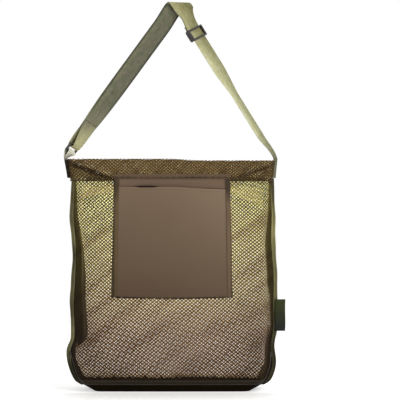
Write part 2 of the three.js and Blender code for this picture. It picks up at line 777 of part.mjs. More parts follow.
// The return layer's end goes round the slider's middle bar and is sewn back to itself.
function sliderLoop() {
  const half = sliderFrame.half.clone().multiplyScalar(HALF_WEBBING);
  const place = (along, level, face) =>
    station(
      sliderMiddle.clone().addScaledVector(rightDown, along).addScaledVector(sliderFrame.face, level),
      half,
      face,
    );
  const barLevel = -frontLevel - SLIDER_BAR_HEIGHT / 2;
  const radius = -barLevel - LAYER;
  const reach = SLIDER_BAR / 2 + WEBBING_THICKNESS / 2 + 2 * CLEARANCE;
  const turn = shares(TURN_STEPS).map((share) => {
    const angle = Math.PI * share;
    const face = sliderFrame.face.clone().multiplyScalar(Math.cos(angle));
    face.addScaledVector(rightDown, Math.sin(angle));
    return place(reach * Math.sin(angle), barLevel + radius * Math.cos(angle), face);
  });
  const behind = sliderFrame.face.clone().negate();
  const close = -3 * LAYER;
  return ribbon([
    place(-SLIDER_LOOP_TAIL, -LAYER, sliderFrame.face),
    ...turn,
    place(-SLIDER_LOOP_TAIL / 2, lerp(barLevel - radius, close, 3 / 4), behind),
    place(-SLIDER_LOOP_TAIL, close, behind),
  ]);
}

add("slider_loop", sliderLoop());

// Axes of the moving pieces
part.userData.joints = {
  strap_swing: { at: [0, 0, BAG_HEIGHT + SWING_HEIGHT], axis: X_AXIS.toArray() },
  ring_pivot: { at: lowerBar.toArray(), axis: ringFrame.half.toArray() },
  slider_travel: { at: sliderMiddle.toArray(), axis: rightDown.toArray(), range: [0, SLIDER_TRAVEL] },
};

export default part;
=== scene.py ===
import math

import bpy
import numpy as np
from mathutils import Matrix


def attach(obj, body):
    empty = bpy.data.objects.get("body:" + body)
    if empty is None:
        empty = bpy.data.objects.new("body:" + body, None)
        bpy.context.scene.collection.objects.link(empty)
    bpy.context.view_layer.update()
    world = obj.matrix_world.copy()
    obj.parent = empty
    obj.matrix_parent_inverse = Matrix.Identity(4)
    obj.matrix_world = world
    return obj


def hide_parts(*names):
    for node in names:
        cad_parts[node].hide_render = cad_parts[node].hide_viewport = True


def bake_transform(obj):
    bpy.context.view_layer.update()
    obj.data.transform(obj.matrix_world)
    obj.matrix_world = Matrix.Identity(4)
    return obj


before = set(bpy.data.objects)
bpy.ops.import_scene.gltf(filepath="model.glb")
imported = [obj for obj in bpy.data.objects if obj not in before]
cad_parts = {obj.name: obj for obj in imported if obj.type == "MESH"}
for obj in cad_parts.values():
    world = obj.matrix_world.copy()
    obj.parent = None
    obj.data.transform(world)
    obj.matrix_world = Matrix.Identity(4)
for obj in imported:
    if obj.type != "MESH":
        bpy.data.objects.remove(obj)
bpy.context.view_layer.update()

# Lengths are in millimetres until a mesh is made.
MM = 0.001
X, Y, Z = np.eye(3)

BAG_WIDTH, BAG_DEPTH, BAG_HEIGHT = 334, 96, 386
HEM_BOTTOM, HEM_TUCK = 349, 8
CREASE_RADIUS = 12
BASE_LIP, BASE_END = 16, 60
SEAM, CREASE, LEAN, SWELL = 1, 2, 3, 4
# Height, then how seam, crease, lean and swell stray from the plain width and depth
LEVELS = np.array((
    (0, -34, -9, 8, 1),
    (BASE_LIP, -8, -1, 12, 4),
    (BASE_END, 5, 0, 16, 6),
    (146.7, 0, 0, 18, 7),
    (227.6, -4, -2, 16, 6),
    (291.2, 0, -7, 12, 5),
    (HEM_BOTTOM, -2, -13, 5, 4),
    (BAG_HEIGHT, 1, -18, 3, 3),
), float)

CELL_WIDTH, CELL_HEIGHT = 6.5, 5.5
STRAND_WIDTH, FRONT_STRAND, STRAND_HALF, STRAND_LIFT = 1.4, 1.65, 0.3, 0.2
# Room between a strand's two outward faces on the map for baking
SPOT_GAP = 0.000384
PANEL_SPAN = 62 * CELL_WIDTH

POCKET_TOP, POCKET_MOUTH, POCKET_BOTTOM = 360, 340, 157
POCKET_WIDTH_TOP, POCKET_WIDTH_BOTTOM, POCKET_GAPE = 192, 199, 10
TAPE_WIDTH, POCKET_SAG = 8, 2.4
BACKING_OFFSET, FRONT_OFFSET, TAPE_OFFSET, CLOTH = 1.8, 2.8, 3.8, 0.7
CLEARANCE = 0.3
HEAD_TAPE, HEAD_TAPE_LOW = 0.8, POCKET_TOP - TAPE_WIDTH
HEAD_SEAM, SIDE_TAPE_TOP = HEAD_TAPE_LOW + 2, HEAD_TAPE_LOW - CLEARANCE

TAG_BOTTOM, TAG_TOP, TAG_REACH = 98, 151, 17.4

WEBBING, WEBBING_THICKNESS, LAYER = 30, 1.4, 0.85
STRAP_ASIDE, STRAP_RISE = 9, 259
ROOT_LENGTH, SEWN_LENGTH, SEWN_OFFSET = 45, 32, 2.8
LEFT_TWIST, RIGHT_TWIST, LOWER_TWIST = (math.radians(a) for a in (70, 47, 66))
RING_BAR, RING_PITCH, RING_STANDOFF, RING_PLAY = 3.6, 12.6, 12, 2.2
SLIDER_FROM_APEX, SLIDER_LENGTH, SLIDER_TRAVEL, LOOP_TAIL = 58, 20, 45, 18
SLIDER_BAR, SLIDER_BAR_HEIGHT = 3.2, 2.4


def smooth(value, low, high):
    t = np.clip((value - low) / (high - low), 0, 1)
    return t * t * (3 - 2 * t)


def lerp(a, b, t):
    return a + (b - a) * t


def unit(vector):
    vector = np.asarray(vector, float)
    return vector / np.linalg.norm(vector, axis=-1, keepdims=True)


def run_along(line):
    """How far along a line each of its points lies."""
    return np.concatenate(([0], np.cumsum(np.linalg.norm(np.diff(line, axis=0), axis=1))))


def at_runs(values, run, spots):
    """Values at spots along a line, from those at its points."""
    return np.stack([np.interp(spots, run, column) for column in values.T], 1)


# Shape of the bag's wall

def stray(z, key):
    """A smooth curve through one measure of the levels."""
    heights, values = LEVELS[:, 0], LEVELS[:, key]
    b = np.clip(np.searchsorted(heights, z), 1, len(heights) - 1)
    a = b - 1
    before, after = np.maximum(a - 1, 0), np.minimum(b + 1, len(heights) - 1)
    span = heights[b] - heights[a]
    t = (z - heights[a]) / span
    slope_a = (values[b] - values[before]) / (heights[b] - heights[before]) * span
    slope_b = (values[after] - values[a]) / (heights[after] - heights[a]) * span
    rise = values[b] - values[a]
    curve = (slope_a + slope_b - 2 * rise) * t**3 + (3 * rise - 2 * slope_a - slope_b) * t**2
    return curve + slope_a * t + values[a]


def seam_at(z):
    return BAG_WIDTH / 2 + stray(z, SEAM)


def face_depth(x, z):
    crease = seam_at(z) - stray(z, LEAN)
    return BAG_DEPTH / 2 + stray(z, CREASE) + stray(z, SWELL) * (1 - (x / crease) ** 2)


def plan(z):
    """Half of the bag's plan at one height, from the left seam round the front to the right one."""
    crease_x = seam_at(z) - stray(z, LEAN)
    seam = np.array((-seam_at(z), 0.0))
    crease = np.array((-crease_x, -BAG_DEPTH / 2 - stray(z, CREASE)))
    wing_end = crease + unit(seam - crease) * CREASE_RADIUS
    face_x = -crease_x + CREASE_RADIUS
    face_start = np.array((face_x, -face_depth(face_x, z)))
    wing = lerp(seam, wing_end, np.linspace(0, 1, 13)[:, None])
    t = np.linspace(0, 1, 13)[1:, None]
    turn = (1 - t) ** 2 * wing_end + 2 * t * (1 - t) * crease + t**2 * face_start
    left = np.concatenate((wing, turn))
    across = np.linspace(face_x, -face_x, 81)[1:-1]
    face = np.stack((across, -face_depth(across, z)), 1)
    return np.concatenate((left, face, left[::-1] * (-1, 1)))


ROWS = np.linspace(0, BAG_HEIGHT, 130)
SHARES = np.linspace(0, 1, 301)


def wall_tables():
    places, normals = [], []
    for z in ROWS:
        outline = plan(z)
        run = run_along(outline)
        even = at_runs(outline, run, SHARES * run[-1])
        along = unit(np.gradient(even, axis=0))
        places.append(even)
        normals.append(np.stack((along[:, 1], -along[:, 0]), 1))
    return np.array(places), np.array(normals)


WALL, WALL_NORMAL = wall_tables()


def sample(table, share, z):
    row = np.clip(z / BAG_HEIGHT, 0, 1) * (len(ROWS) - 1)
    column = np.clip(share, 0, 1) * (len(SHARES) - 1)
    j = np.minimum(row.astype(int), len(ROWS) - 2)
    i = np.minimum(column.astype(int), len(SHARES) - 2)
    t, s = (row - j)[..., None], (column - i)[..., None]
    low = lerp(table[j, i], table[j, i + 1], s)
    return lerp(low, lerp(table[j + 1, i], table[j + 1, i + 1], s), t)


def ripple(x, z, back):
    """Slack in the net: little under the pocket and at the seams, more low down and beside it."""
    phase = 1.9 if back else 0.0
    waves = 1.1 * np.sin(x / 31 + z / 57 + phase) + 0.8 * np.sin(x / 17 - z / 43 + 2 * phase)
    waves = waves + 0.6 * np.sin(z / 23 + x / 71 + 1 + phase)
    free = smooth(z, BASE_LIP, BASE_END) * (1 - smooth(z, 310, HEM_BOTTOM)) * smooth(170 - abs(x), 0, 30)
    if not back:
        clear = np.maximum(smooth(abs(x), 98, 125), 1 - smooth(z, 120, POCKET_BOTTOM))
        free = free * clear
    return 1.1 * waves * free


def end_shift(side, z):
    """How far an end strays outwards: the right one bulges, and both turn out late above the base."""
    if side > 0:
        return 6.7 * np.exp(-(((z - 197) / 58) ** 2)) - 6 * np.exp(-(((z - 72) / 24) ** 2))
    return -6 * smooth(z, 64, 88) * (1 - smooth(z, 90, 150))


def hem_flare(side, z):
    """The hem's ends stand out where the strap pulls at them."""
    if side > 0:
        return 2.5 + 0 * z
    return lerp(4.5, 7.5, (z - HEM_BOTTOM) / (BAG_HEIGHT - HEM_BOTTOM))


def wall(share, z, out, back):
    """Where a share of the way across the wall meets a height, with the way out from the bag."""
    share, z = np.broadcast_arrays(np.asarray(share, float), np.asarray(z, float))
    flat = sample(WALL, share, z)
    normal = unit(sample(WALL_NORMAL, share, z))
    flat = flat + normal * (out + ripple(flat[..., 0], z, back))[..., None]
    flip = -1 if back else 1
    near = smooth(abs(flat[..., 0]), 115, 160)
    aside = near * np.where(flat[..., 0] > 0, end_shift(1, z), -end_shift(-1, z))
    points = np.stack((flat[..., 0] + aside, flip * flat[..., 1], z), -1)
    ways = np.stack((normal[..., 0], flip * normal[..., 1], 0 * z), -1)
    return points, ways


def seam_height(share):
    """The base seam is low along the faces and climbs the ends."""
    edge = np.minimum(share, 1 - share) * PANEL_SPAN
    return lerp(BASE_END, BASE_LIP, smooth(edge, 12, 46))


# Meshes

def build(name, shape, *finishes, slots=None, weave=None):
    """A mesh piece. A shape is points, faces and each face corner's spot on the flat cloth."""
    points, faces, places = shape
    mesh = bpy.data.meshes.new(name)
    mesh.from_pydata((np.asarray(points) * MM).tolist(), [], [list(map(int, f)) for f in faces])
    for finish in finishes:
        mesh.materials.append(finish)
    for title, corners in (("OFBake", places), ("weave", weave)):
        if corners is not None:
            layer = mesh.uv_layers.new(name=title)
            layer.data.foreach_set("uv", np.asarray(corners, np.float32).ravel())
    if slots is not None:
        mesh.polygons.foreach_set("material_index", np.asarray(slots, np.int32))
    mesh.polygons.foreach_set("use_smooth", [len(face) <= 4 for face in faces])
    mesh.update()
    piece = bpy.data.objects.new(name, mesh)
    bpy.context.scene.collection.objects.link(piece)
    return piece


def settle(piece, body, slot, *nodes):
    """Ties a piece to its body and to the solids that it stands for, which it hides. slot is not used."""
    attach(piece, body)
    if nodes:
        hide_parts(*nodes)
    return piece


def closed_shape(points, faces, places):
    """A shape, with its faces turned round if they look inwards."""
    volume = 0.0
    for face in faces:
        a, b, c = points[face[0]], points[face[1]], points[face[2]]
        volume += np.dot(a, np.cross(b, c))
        if len(face) == 4:
            volume += np.dot(a, np.cross(c, points[face[3]]))
    if volume < 0:
        faces = [face[::-1] for face in faces]
        places = [corners[::-1] for corners in places]
    return points, faces, np.concatenate([np.array(corners) for corners in places])


def quads(a, b):
    """Four corners for each step between two lines of indices or spots."""
    return np.stack((a[:-1], a[1:], b[1:], b[:-1]), 1)


def skin(outer, inner):
    """A closed sheet between two grids of points."""
    rows, columns = outer.shape[:2]
    index = np.arange(2 * rows * columns).reshape(2, rows, columns)
    front, back = index[0], index[1].T
    rims = (index[:, :, 0], index[:, ::-1, -1], index[:, 0, ::-1], index[:, -1])
    faces = np.concatenate([quads(a, b) for a, b in (*zip(front, front[1:]), *zip(back, back[1:]), *rims)])
    side, j, i = np.unravel_index(faces, index.shape)
    places = np.stack((0.49 * i / (columns - 1) + 0.51 * side, j / (rows - 1)), -1)
    return closed_shape(np.concatenate((outer, inner)).reshape(-1, 3), faces.tolist(), places)


def tube(rings):
    """Skin over rings of points that follow each other, capped at both ends."""
    rings = np.asarray(rings, float)
    count, around = rings.shape[:2]
    index = np.arange(count * around).reshape(count, around)
    closed = np.concatenate((index, index[:, :1]), 1)
    spots = np.stack(np.meshgrid(np.linspace(0, 1, around + 1), 0.95 * np.arange(count) / count), -1)
    faces = [face for pair in zip(closed, closed[1:]) for face in quads(*pair).tolist()]
    places = [corners for pair in zip(spots, spots[1:]) for corners in quads(*pair)]
    for ring, corner in ((index[0, ::-1], 0.98), (index[-1], 0.96)):
        faces.append(ring.tolist())
        places.append([(0.02 * i / around, corner) for i in range(around)])
    return closed_shape(rings.reshape(-1, 3), faces, places)


def net(name, place, height, inside, finishes, turn=0.0, gather=1.0, strand=STRAND_WIDTH):
    """A diamond net as wide as a panel. place gives points and outward ways for spots on the flat cloth.

    turn is how far the cloth is off its grain. gather is how far slack cloth has drawn together, which
    thickens its strands. strand is how wide they are before that. The finishes are for the strands'
    outward faces and for those that look into the bag.
    """
    cell_width, cell_height = CELL_WIDTH * gather, CELL_HEIGHT * gather
    strand_width = strand / gather
    i, j = np.meshgrid(
        np.arange(-1, 2 * (PANEL_SPAN + height * math.sin(turn)) / cell_width + 2),
        np.arange(-1 - 2 * PANEL_SPAN * math.sin(turn) // cell_height, 2 * height / cell_height + 2),
        indexing="ij",
    )
    s, v = i * cell_width / 2, j * cell_height / 2
    s, v = s * math.cos(turn) - v * math.sin(turn), s * math.sin(turn) + v * math.cos(turn)
    points, ways = place(s, v)
    spots = np.stack((s / PANEL_SPAN, v / height), -1) * (0.48, 0.98) + 0.01
    used = inside(s, v) & ((i + j) % 2 == 0)
    over = np.where(i % 2 == 0, STRAND_LIFT, -STRAND_LIFT)
    all_points, all_faces, all_places, all_slots = [], [], [], []
    start = 0
    first, last = slice(None, -1), slice(1, None)
    for slant, here_j, next_j in ((1, first, last), (-1, last, first)):
        # Knots with a strand to the next one, and knots with a strand from the one before
        ahead, reached = np.zeros_like(used), np.zeros_like(used)
        ahead[first, here_j] = used[first, here_j] & used[last, next_j]
        reached[last, next_j] = ahead[first, here_j]
        here = ahead | reached
        behind_j, beyond_j = (slice(None, -2), slice(2, None))[::slant]
        along = np.zeros_like(points)
        along[1:-1, 1:-1] = points[2:, beyond_j] - points[:-2, behind_j]
        index = np.full(used.shape, -1)
        index[here] = start + 3 * np.arange(here.sum())
        start += 3 * here.sum()
        side = unit(np.cross(along[here], ways[here])) * strand_width / 2
        middle = points[here] + ways[here] * (slant * over[here])[:, None]
        rise = ways[here] * STRAND_HALF
        corners = np.stack((middle - side - rise, middle + rise, middle + side - rise), 1)
        all_points.append(corners.reshape(-1, 3))
        a, b = index[ahead], index[reached]
        for left, right, slot, apart in ((0, 1, 0, 0), (1, 2, 0, SPOT_GAP), (2, 0, 1, 0)):
            all_faces.append(np.stack((a + left, a + right, b + right, b + left), 1))
            spot_a, spot_b = (spots[knots] + (0.5 * slot, 0) for knots in (ahead, reached))
            all_places.append(np.stack((spot_a, spot_a + (apart, 0), spot_b + (apart, 0), spot_b), 1))
            all_slots.append(np.full(len(a), slot))
        for ends, order in ((ahead & ~reached, (0, 2, 1)), (reached & ~ahead, (0, 1, 2))):
            corner = index[ends]
            all_faces.append(np.stack([corner + k for k in order], 1))
            all_places.append(np.repeat(spots[ends][:, None], 3, 1))
            all_slots.append(np.zeros(len(corner)))
    faces = [face for group in all_faces for face in group.tolist()]
    places = np.concatenate([group.reshape(-1, 2) for group in all_places])
    shape = (np.concatenate(all_points), faces, places)
    return build(name, shape, *finishes, slots=np.concatenate(all_slots))


# Materials

WHITE = (1, 1, 1)


def colour(*channels):
    """A colour as a screen shows it, made linear."""
    shares = [c / 255 for c in channels]
    return [c / 12.92 if c <= 0.04045 else ((c + 0.055) / 1.055) ** 2.4 for c in shares]


def grey(level, blue=1.0):
    return (level, level, blue * level)


class Value:
    """A value in a shader, which adds and multiplies as a number does."""

    def __init__(self, look, socket):
        self.look, self.socket = look, socket

    def maths(self, operation, *others):
        made = self.look.node("Math", operation=operation)
        for socket, value in zip(made.inputs, (self, *others)):
            self.look.put(socket, value)
        return Value(self.look, made.outputs[0])

    def __add__(self, other):
        return self.maths("ADD", other)

    def __sub__(self, other):
        return self.maths("SUBTRACT", other)

    def __mul__(self, other):
        return self.maths("MULTIPLY", other)

    def __gt__(self, other):
        return self.maths("GREATER_THAN", other)

    def __or__(self, other):
        """The larger of two values."""
        return self.maths("MAXIMUM", other)

    def __abs__(self):
        return self.maths("ABSOLUTE")

    def wave(self, pitch):
        return (self * (2 * math.pi / pitch)).maths("SINE")

    def share(self, low, high):
        """How far the value has gone from low to high."""
        return self.look.value("MapRange", **{"Value": self, "From Min": low, "From Max": high})

    def ramp(self, *stops):
        """Tones at the levels that the stops give."""
        made = self.look.node("ValToRGB", Fac=self)
        elements = made.color_ramp.elements
        while len(elements) < len(stops):
            elements.new(0.5)
        for element, (level, tone) in zip(elements, stops):
            element.position = level
            element.color = (*tone, 1)
        return Value(self.look, made.outputs["Color"])


class Look:
    """A material's or a world's nodes, with short ways to add to them."""

    def __init__(self, owner, shader):
        owner.use_nodes = True
        self.owner = owner
        self.tree = owner.node_tree
        self.shader = self.tree.nodes[shader]

    def put(self, socket, value):
        """Links a value to a socket, or sets a number or a colour on it."""
        if isinstance(value, Value):
            self.tree.links.new(value.socket, socket)
        else:
            socket.default_value = (*value, 1) if socket.type == "RGBA" else value

    def finish(self, title, value):
        self.put(self.shader.inputs[title], value)

    def node(self, kind, **settings):
        made = self.tree.nodes.new("ShaderNode" + kind)
        for key, value in settings.items():
            if key in made.inputs:
                self.put(made.inputs[key], value)
            else:
                setattr(made, key, value)
        return made

    def value(self, kind, output=0, **settings):
        return Value(self, self.node(kind, **settings).outputs[output])

    def places(self, source="Object", scale=(1, 1, 1)):
        """Places on the object in metres, or on the flat cloth when source names a map."""
        if source == "Object":
            spots = self.value("TexCoord", "Object")
        else:
            spots = self.value("UVMap", "UV", uv_map=source)
        return self.value("Mapping", Vector=spots, Scale=scale)

    def axis(self, name, source="Object"):
        """One coordinate of a place on the object or on a map."""
        return self.value("SeparateXYZ", name, Vector=self.places(source))

    def height(self, low, high):
        return self.axis("Z").share(low, high)

    def noise(self, scale, detail=3.0, places=None):
        return self.value("TexNoise", "Fac", Scale=scale, Detail=detail, Vector=places or self.places())

    def weave(self, scale):
        """Threads that cross, from a wave in each of two directions."""
        across, up = (
            self.value("TexWave", "Fac", Scale=scale, bands_direction=way, Vector=self.places())
            for way in "XZ"
        )
        return across | up

    def mixed(self, share, a, b, blend="MIX"):
        made = self.node("Mix", data_type="RGBA", blend_type=blend)
        for socket, value in ((0, share), (6, a), (7, b)):
            self.put(made.inputs[socket], value)
        return Value(self, made.outputs[2])

    def times(self, a, b, share=1.0):
        return self.mixed(share, a, b, "MULTIPLY")

    def shaded(self, body, source, low, tone, high, share):
        """A colour that a tone darkens where the source is low."""
        return self.times(body, source.ramp((low, tone), (high, WHITE)), share)

    def cover(self, tone, relief, strength, distance):
        """Finishes a material with its colour and the relief of its surface."""
        self.finish("Base Color", tone)
        self.finish("Normal", self.value("Bump", Height=relief, Strength=strength, Distance=distance))
        return self.owner


def material(name, roughness, sheen=0.0, specular=0.5):
    look = Look(bpy.data.materials.new(name), "Principled BSDF")
    look.finish("Roughness", roughness)
    look.finish("Sheen Weight", sheen)
    look.finish("Specular IOR Level", specular)
    return look


def fold_shade(look):
    """Grey that darkens along the slanting folds at the hem's ends."""
    side = look.axis("X")
    off = (look.axis("Z") - abs(side) * 0.4).share(0.3, 0.324)
    deep = (0.36, 0.32, 0.3)
    shade = off.ramp((0.16, (0.72, 0.72, 0.65)), (0.32, deep), (0.56, deep), (0.72, WHITE))
    slighter = (side > 0.0) * 0.5
    return look.mixed(slighter, shade, WHITE)


def crease_shade(look):
    """Grey that darkens along faint creases rising to the right."""
    side = look.axis("X")
    slant = look.axis("Z") - side * 0.7
    places = look.value("CombineXYZ", X=slant * 42, Y=side * 9)
    return look.noise(1, 2, places).ramp((0.36, (0.68, 0.6, 0.53)), (0.54, WHITE))


def net_material(name, low, high, folded=False):
    look = material(name, 0.8, specular=0.1)
    body = look.mixed(look.height(0.09, 0.3), low, high)
    body = look.shaded(body, look.noise(45), 0.3, (0.72, 0.7, 0.66), 0.7, 0.6)
    body = look.times(body, fold_shade(look) if folded else crease_shade(look))
    fibre = look.noise(2600, 2)
    return look.cover(look.shaded(body, fibre, 0.35, grey(0.7), 0.65, 0.6), fibre, 0.5, 0.0002)


def cloth_material(name, dark, light, roughness=0.8, sheen=0.02, specular=0.12, depth=0.5, pitch=0.0011):
    """Plain weave at a pitch in metres, with soft patches of shade."""
    look = material(name, roughness, sheen, specular)
    threads = look.weave(WAVE_PITCH / pitch)
    body = look.mixed(look.noise(18, 4), dark, light)
    body = look.shaded(body, threads, 0.2, (0.8, 0.79, 0.77), 0.9, 0.6)
    return look.cover(body, threads, depth, 0.0002)


def pocket_material(name, low, high):
    """Coated satin nylon, with the faint wave that a taut sheet has, and painted light: lighter towards the
    top and the right.
    """
    look = material(name, 0.46, sheen=0.03, specular=0.25)
    # Painted light: the colour goes from low to high up and to the right, for the light that the satin
    # catches there.
    slant = look.axis("Z") + look.axis("X") * 0.3
    body = look.mixed(slant.share(0.14, 0.36), low, high)
    body = look.shaded(body, look.noise(9, 2), 0.3, (0.86, 0.84, 0.82), 0.7, 0.8)
    look.finish("Roughness", look.noise(30, 2).ramp((0.3, grey(0.4)), (0.7, grey(0.55))))
    return look.cover(body, look.weave(480) * 0.08 + look.noise(14, 1), 0.25, 0.0012)


def mouth_material():
    """Turned cloth edge, painted dark for the shade along the pocket's mouth, darkest where the slit stands
    open.
    """
    look = material("pocket_mouth", 0.7, specular=0.15)
    plain, dark = colour(80, 60, 44), colour(30, 17, 8)
    across = look.axis("X").share(-0.09, 0.09)
    # Painted shade in the slit: darkest from 56 to 29 mm left of the middle.
    body = across.ramp((0.08, plain), (0.19, dark), (0.34, dark), (0.46, plain), (0.9, colour(76, 58, 43)))
    fibre = look.noise(1500, 2)
    return look.cover(look.shaded(body, fibre, 0.3, grey(0.75), 0.7, 0.7), fibre, 0.3, 0.0002)


def tape_material(name, dark, light, height_shade=None, edge=None):
    """Narrow woven tape with ribs across it.

    Its greys by height in metres, after the two colours, are painted shade where folds and nearby parts
    shade the tape. edge gives the two widths from the middle of the bag between which the tape darkens, and
    the shade of grey it reaches.
    """
    look = material(name, 0.75, sheen=0.05, specular=0.15)
    body = look.mixed(look.noise(40, 4), dark, light)
    # Painted shade by height: the tape is multiplied by greys that darken it where it lies in shade.
    if height_shade:
        top = height_shade[-1][0]
        wear_and_painted_shade = [(z / top, grey(level, 0.97)) for z, level in height_shade]
        body = look.times(body, look.height(0, top).ramp(*wear_and_painted_shade))
    if edge:
        inner, outer, level = edge
        outermost = abs(look.axis("X")).share(inner, outer)
        body = look.mixed(outermost, body, look.times(body, grey(level, 0.85)))
    ribs = look.weave(300)
    return look.cover(look.shaded(body, ribs, 0.2, (0.7, 0.7, 0.68), 0.9, 0.7), ribs, 0.5, 0.0003)


def webbing_material(name, span=None, foot=None, head=None):
    """Twilled webbing: slanting ribs in a herringbone, darker towards one edge of its face. Its colours
    carry painted light and shade.

    Where foot is given, the webbing changes from that colour to head, or else to its own colours,
    between the two heights of span.
    """
    look = material(name, 0.72, sheen=0.08, specular=0.15)
    mapped = look.axis("X", "weave")
    reverse = mapped > 0.5
    side = mapped - reverse
    across = abs(side)
    ribs = (across + look.axis("Y", "weave")).wave(0.0016) * 0.5 + 0.5
    patches = look.noise(140, 5).ramp((0.35, grey(0)), (0.65, WHITE))
    toward_one_edge = side.share(-0.015, 0.015)
    # Painted light and shade: the face is coloured as the strap's lit side, and the reverse far darker, as
    # its side turned from the light.
    face = look.mixed(patches, colour(214, 210, 160), colour(230, 232, 196))
    face = look.times(face, toward_one_edge.ramp((0, WHITE), (0.3, (0.74, 0.74, 0.68)), (0.75, (0.5, 0.5, 0.42))))
    # Painted shade between the slider's bars, with an olive-brown stain there too: the face darkens from
    # 0.545 m up, round the slider and above it.
    face = look.times(face, look.height(0.545, 0.6).ramp((0, WHITE), (1, (0.66, 0.63, 0.54))))
    # Painted shade: the reverse is far darker than the face.
    back = look.mixed(patches, colour(112, 118, 90), colour(133, 128, 106))
    back = look.times(back, toward_one_edge.ramp((0.1, WHITE), (0.4, (0.78, 0.76, 0.84)), (0.9, (0.8, 0.79, 0.88))))
    back = look.mixed(look.height(0.446, 0.475), STRAP_FOOT, back)
    # Painted shadow: the reverse turns dark near the top of the strap, where the fold above shades the left
    # leg.
    along = look.axis("Z") * 0.823 + look.axis("X") * 0.568
    back = look.mixed(along.share(0.518, 0.53), back, colour(50, 48, 39))
    body = look.mixed(reverse, face, back)
    if foot:
        body = look.mixed(look.height(*span), foot, head or body)
    streaks = look.noise(1, 2, look.places("weave", (700, 45, 1)))
    body = look.shaded(body, streaks, 0.36, (0.72, 0.71, 0.66), 0.6, 0.75)
    body = look.shaded(body, ribs, 0.1, (0.74, 0.74, 0.7), 0.9, 0.8)
    # Painted shade along both edges, where the rounded edges turn from the light: slight on the face,
    # strong on the reverse above 0.49 m.
    rim = reverse * (look.height(0.448, 0.49) * 0.8) + 0.1
    painted_edge_shade = across.share(0.0105, 0.0145) * rim
    body = look.mixed(painted_edge_shade, body, colour(40, 39, 29))
    return look.cover(body, ribs + side.wave(0.0012) * 0.25, 0.45, 0.0004)


def hardware_material():
    look = material("hardware", 0.42, specular=0.5)
    grain = look.noise(900)
    look.finish("Roughness", grain.ramp((0.3, grey(0.34)), (0.7, grey(0.55))))
    wear_and_painted_shade = look.noise(120, 4).ramp((0.35, colour(24, 23, 20)), (0.7, colour(48, 46, 40)))
    return look.cover(wear_and_painted_shade, grain, 0.15, 0.0002)


def tag_material():
    look = material("tag", 0.6, sheen=0.05, specular=0.2)
    body = look.mixed(look.height(0.104, 0.146), colour(25, 30, 24), colour(50, 54, 18))
    body = look.shaded(body, look.noise(70), 0.3, grey(0.75), 0.7, 0.8)
    return look.cover(body, look.weave(420), 0.35, 0.0002)


# How far apart the bands of a wave texture of scale 1 lie, in metres
WAVE_PITCH = 0.314
STRAP_FOOT = colour(130, 128, 105)
# Painted shade on the side ridges: greys by height in metres, darkest low down and where folds in the sides
# shade the tape.
LEFT_RIDGE_PAINTED_SHADE = (
    (0.04, 0.15), (0.06, 0.5), (0.078, 0.8), (0.1, 0.75), (0.125, 0.4),
    (0.17, 0.6), (0.2, 0.5), (0.225, 0.25), (0.255, 0.8), (0.345, 0.7),
)
RIGHT_RIDGE_PAINTED_SHADE = (
    (0.07, 0.12), (0.1, 0.25), (0.127, 0.16), (0.16, 0.6), (0.19, 0.5),
    (0.225, 0.55), (0.26, 1.0), (0.295, 0.85), (0.33, 0.28),
)
# Painted shade on the pocket's side tapes: greys by height in metres, darkest from 0.335 m up, in the
# shaded band under the head tape.
LEFT_TAPE_PAINTED_SHADE = ((0.157, 0.8), (0.23, 0.9), (0.31, 0.85), (0.335, 0.45), (0.352, 0.45))
RIGHT_TAPE_PAINTED_SHADE = ((0.157, 0.85), (0.2, 0.95), (0.31, 0.95), (0.335, 0.3), (0.352, 0.3))
LEFT_TAPE_EDGE, RIGHT_TAPE_EDGE = (0.0925, 0.0965, 0.34), (0.0955, 0.0985, 0.42)

NET_OUTSIDE = net_material("net", colour(44, 33, 20), colour(88, 78, 37))
# Painted light: the strands' faces that look into the bag are painted pale yellow, paler higher up, for
# light from behind that shines through the thin net. The outward faces carry the net's dark brown.
NET_INSIDE_PAINTED_GLOW = net_material("net_inside_painted_glow", colour(196, 171, 141), colour(255, 249, 180))
HEM_NET = net_material("hem_net", colour(98, 77, 48), colour(98, 77, 48), True)
HEM_EDGE = tape_material("hem_edge", colour(44, 32, 20), colour(66, 51, 33))
# Painted light: the hem's inner faces are painted pale, for light that shines through the net from behind,
# seen through its holes.
HEM_INSIDE_PAINTED_GLOW = net_material("hem_inside_painted_glow", colour(236, 214, 158), colour(236, 214, 158), True)
BASE_CLOTH = cloth_material("base_cloth", colour(17, 12, 6), colour(27, 20, 10), 0.9, 0.0, 0.02)
# Painted shade: dark sheets behind the net along the narrow sides stand for the shade in the sides, which
# are net seen at a slant. The right one is paler.
LEFT_SIDE_PAINTED_SHADE = cloth_material("side_painted_shade", colour(50, 40, 27), colour(66, 54, 38))
RIGHT_SIDE_PAINTED_SHADE = cloth_material("pale_side_painted_shade", colour(62, 52, 32), colour(82, 71, 45))
LEFT_BINDING = tape_material("left_binding", colour(86, 78, 50), colour(182, 176, 130), LEFT_RIDGE_PAINTED_SHADE)
RIGHT_BINDING = tape_material("right_binding", colour(98, 92, 56), colour(186, 180, 126), RIGHT_RIDGE_PAINTED_SHADE)
BASE_TAPE = tape_material("base_tape", colour(27, 21, 12), colour(41, 33, 20))
POCKET = pocket_material("pocket", colour(80, 62, 43), colour(117, 98, 78))
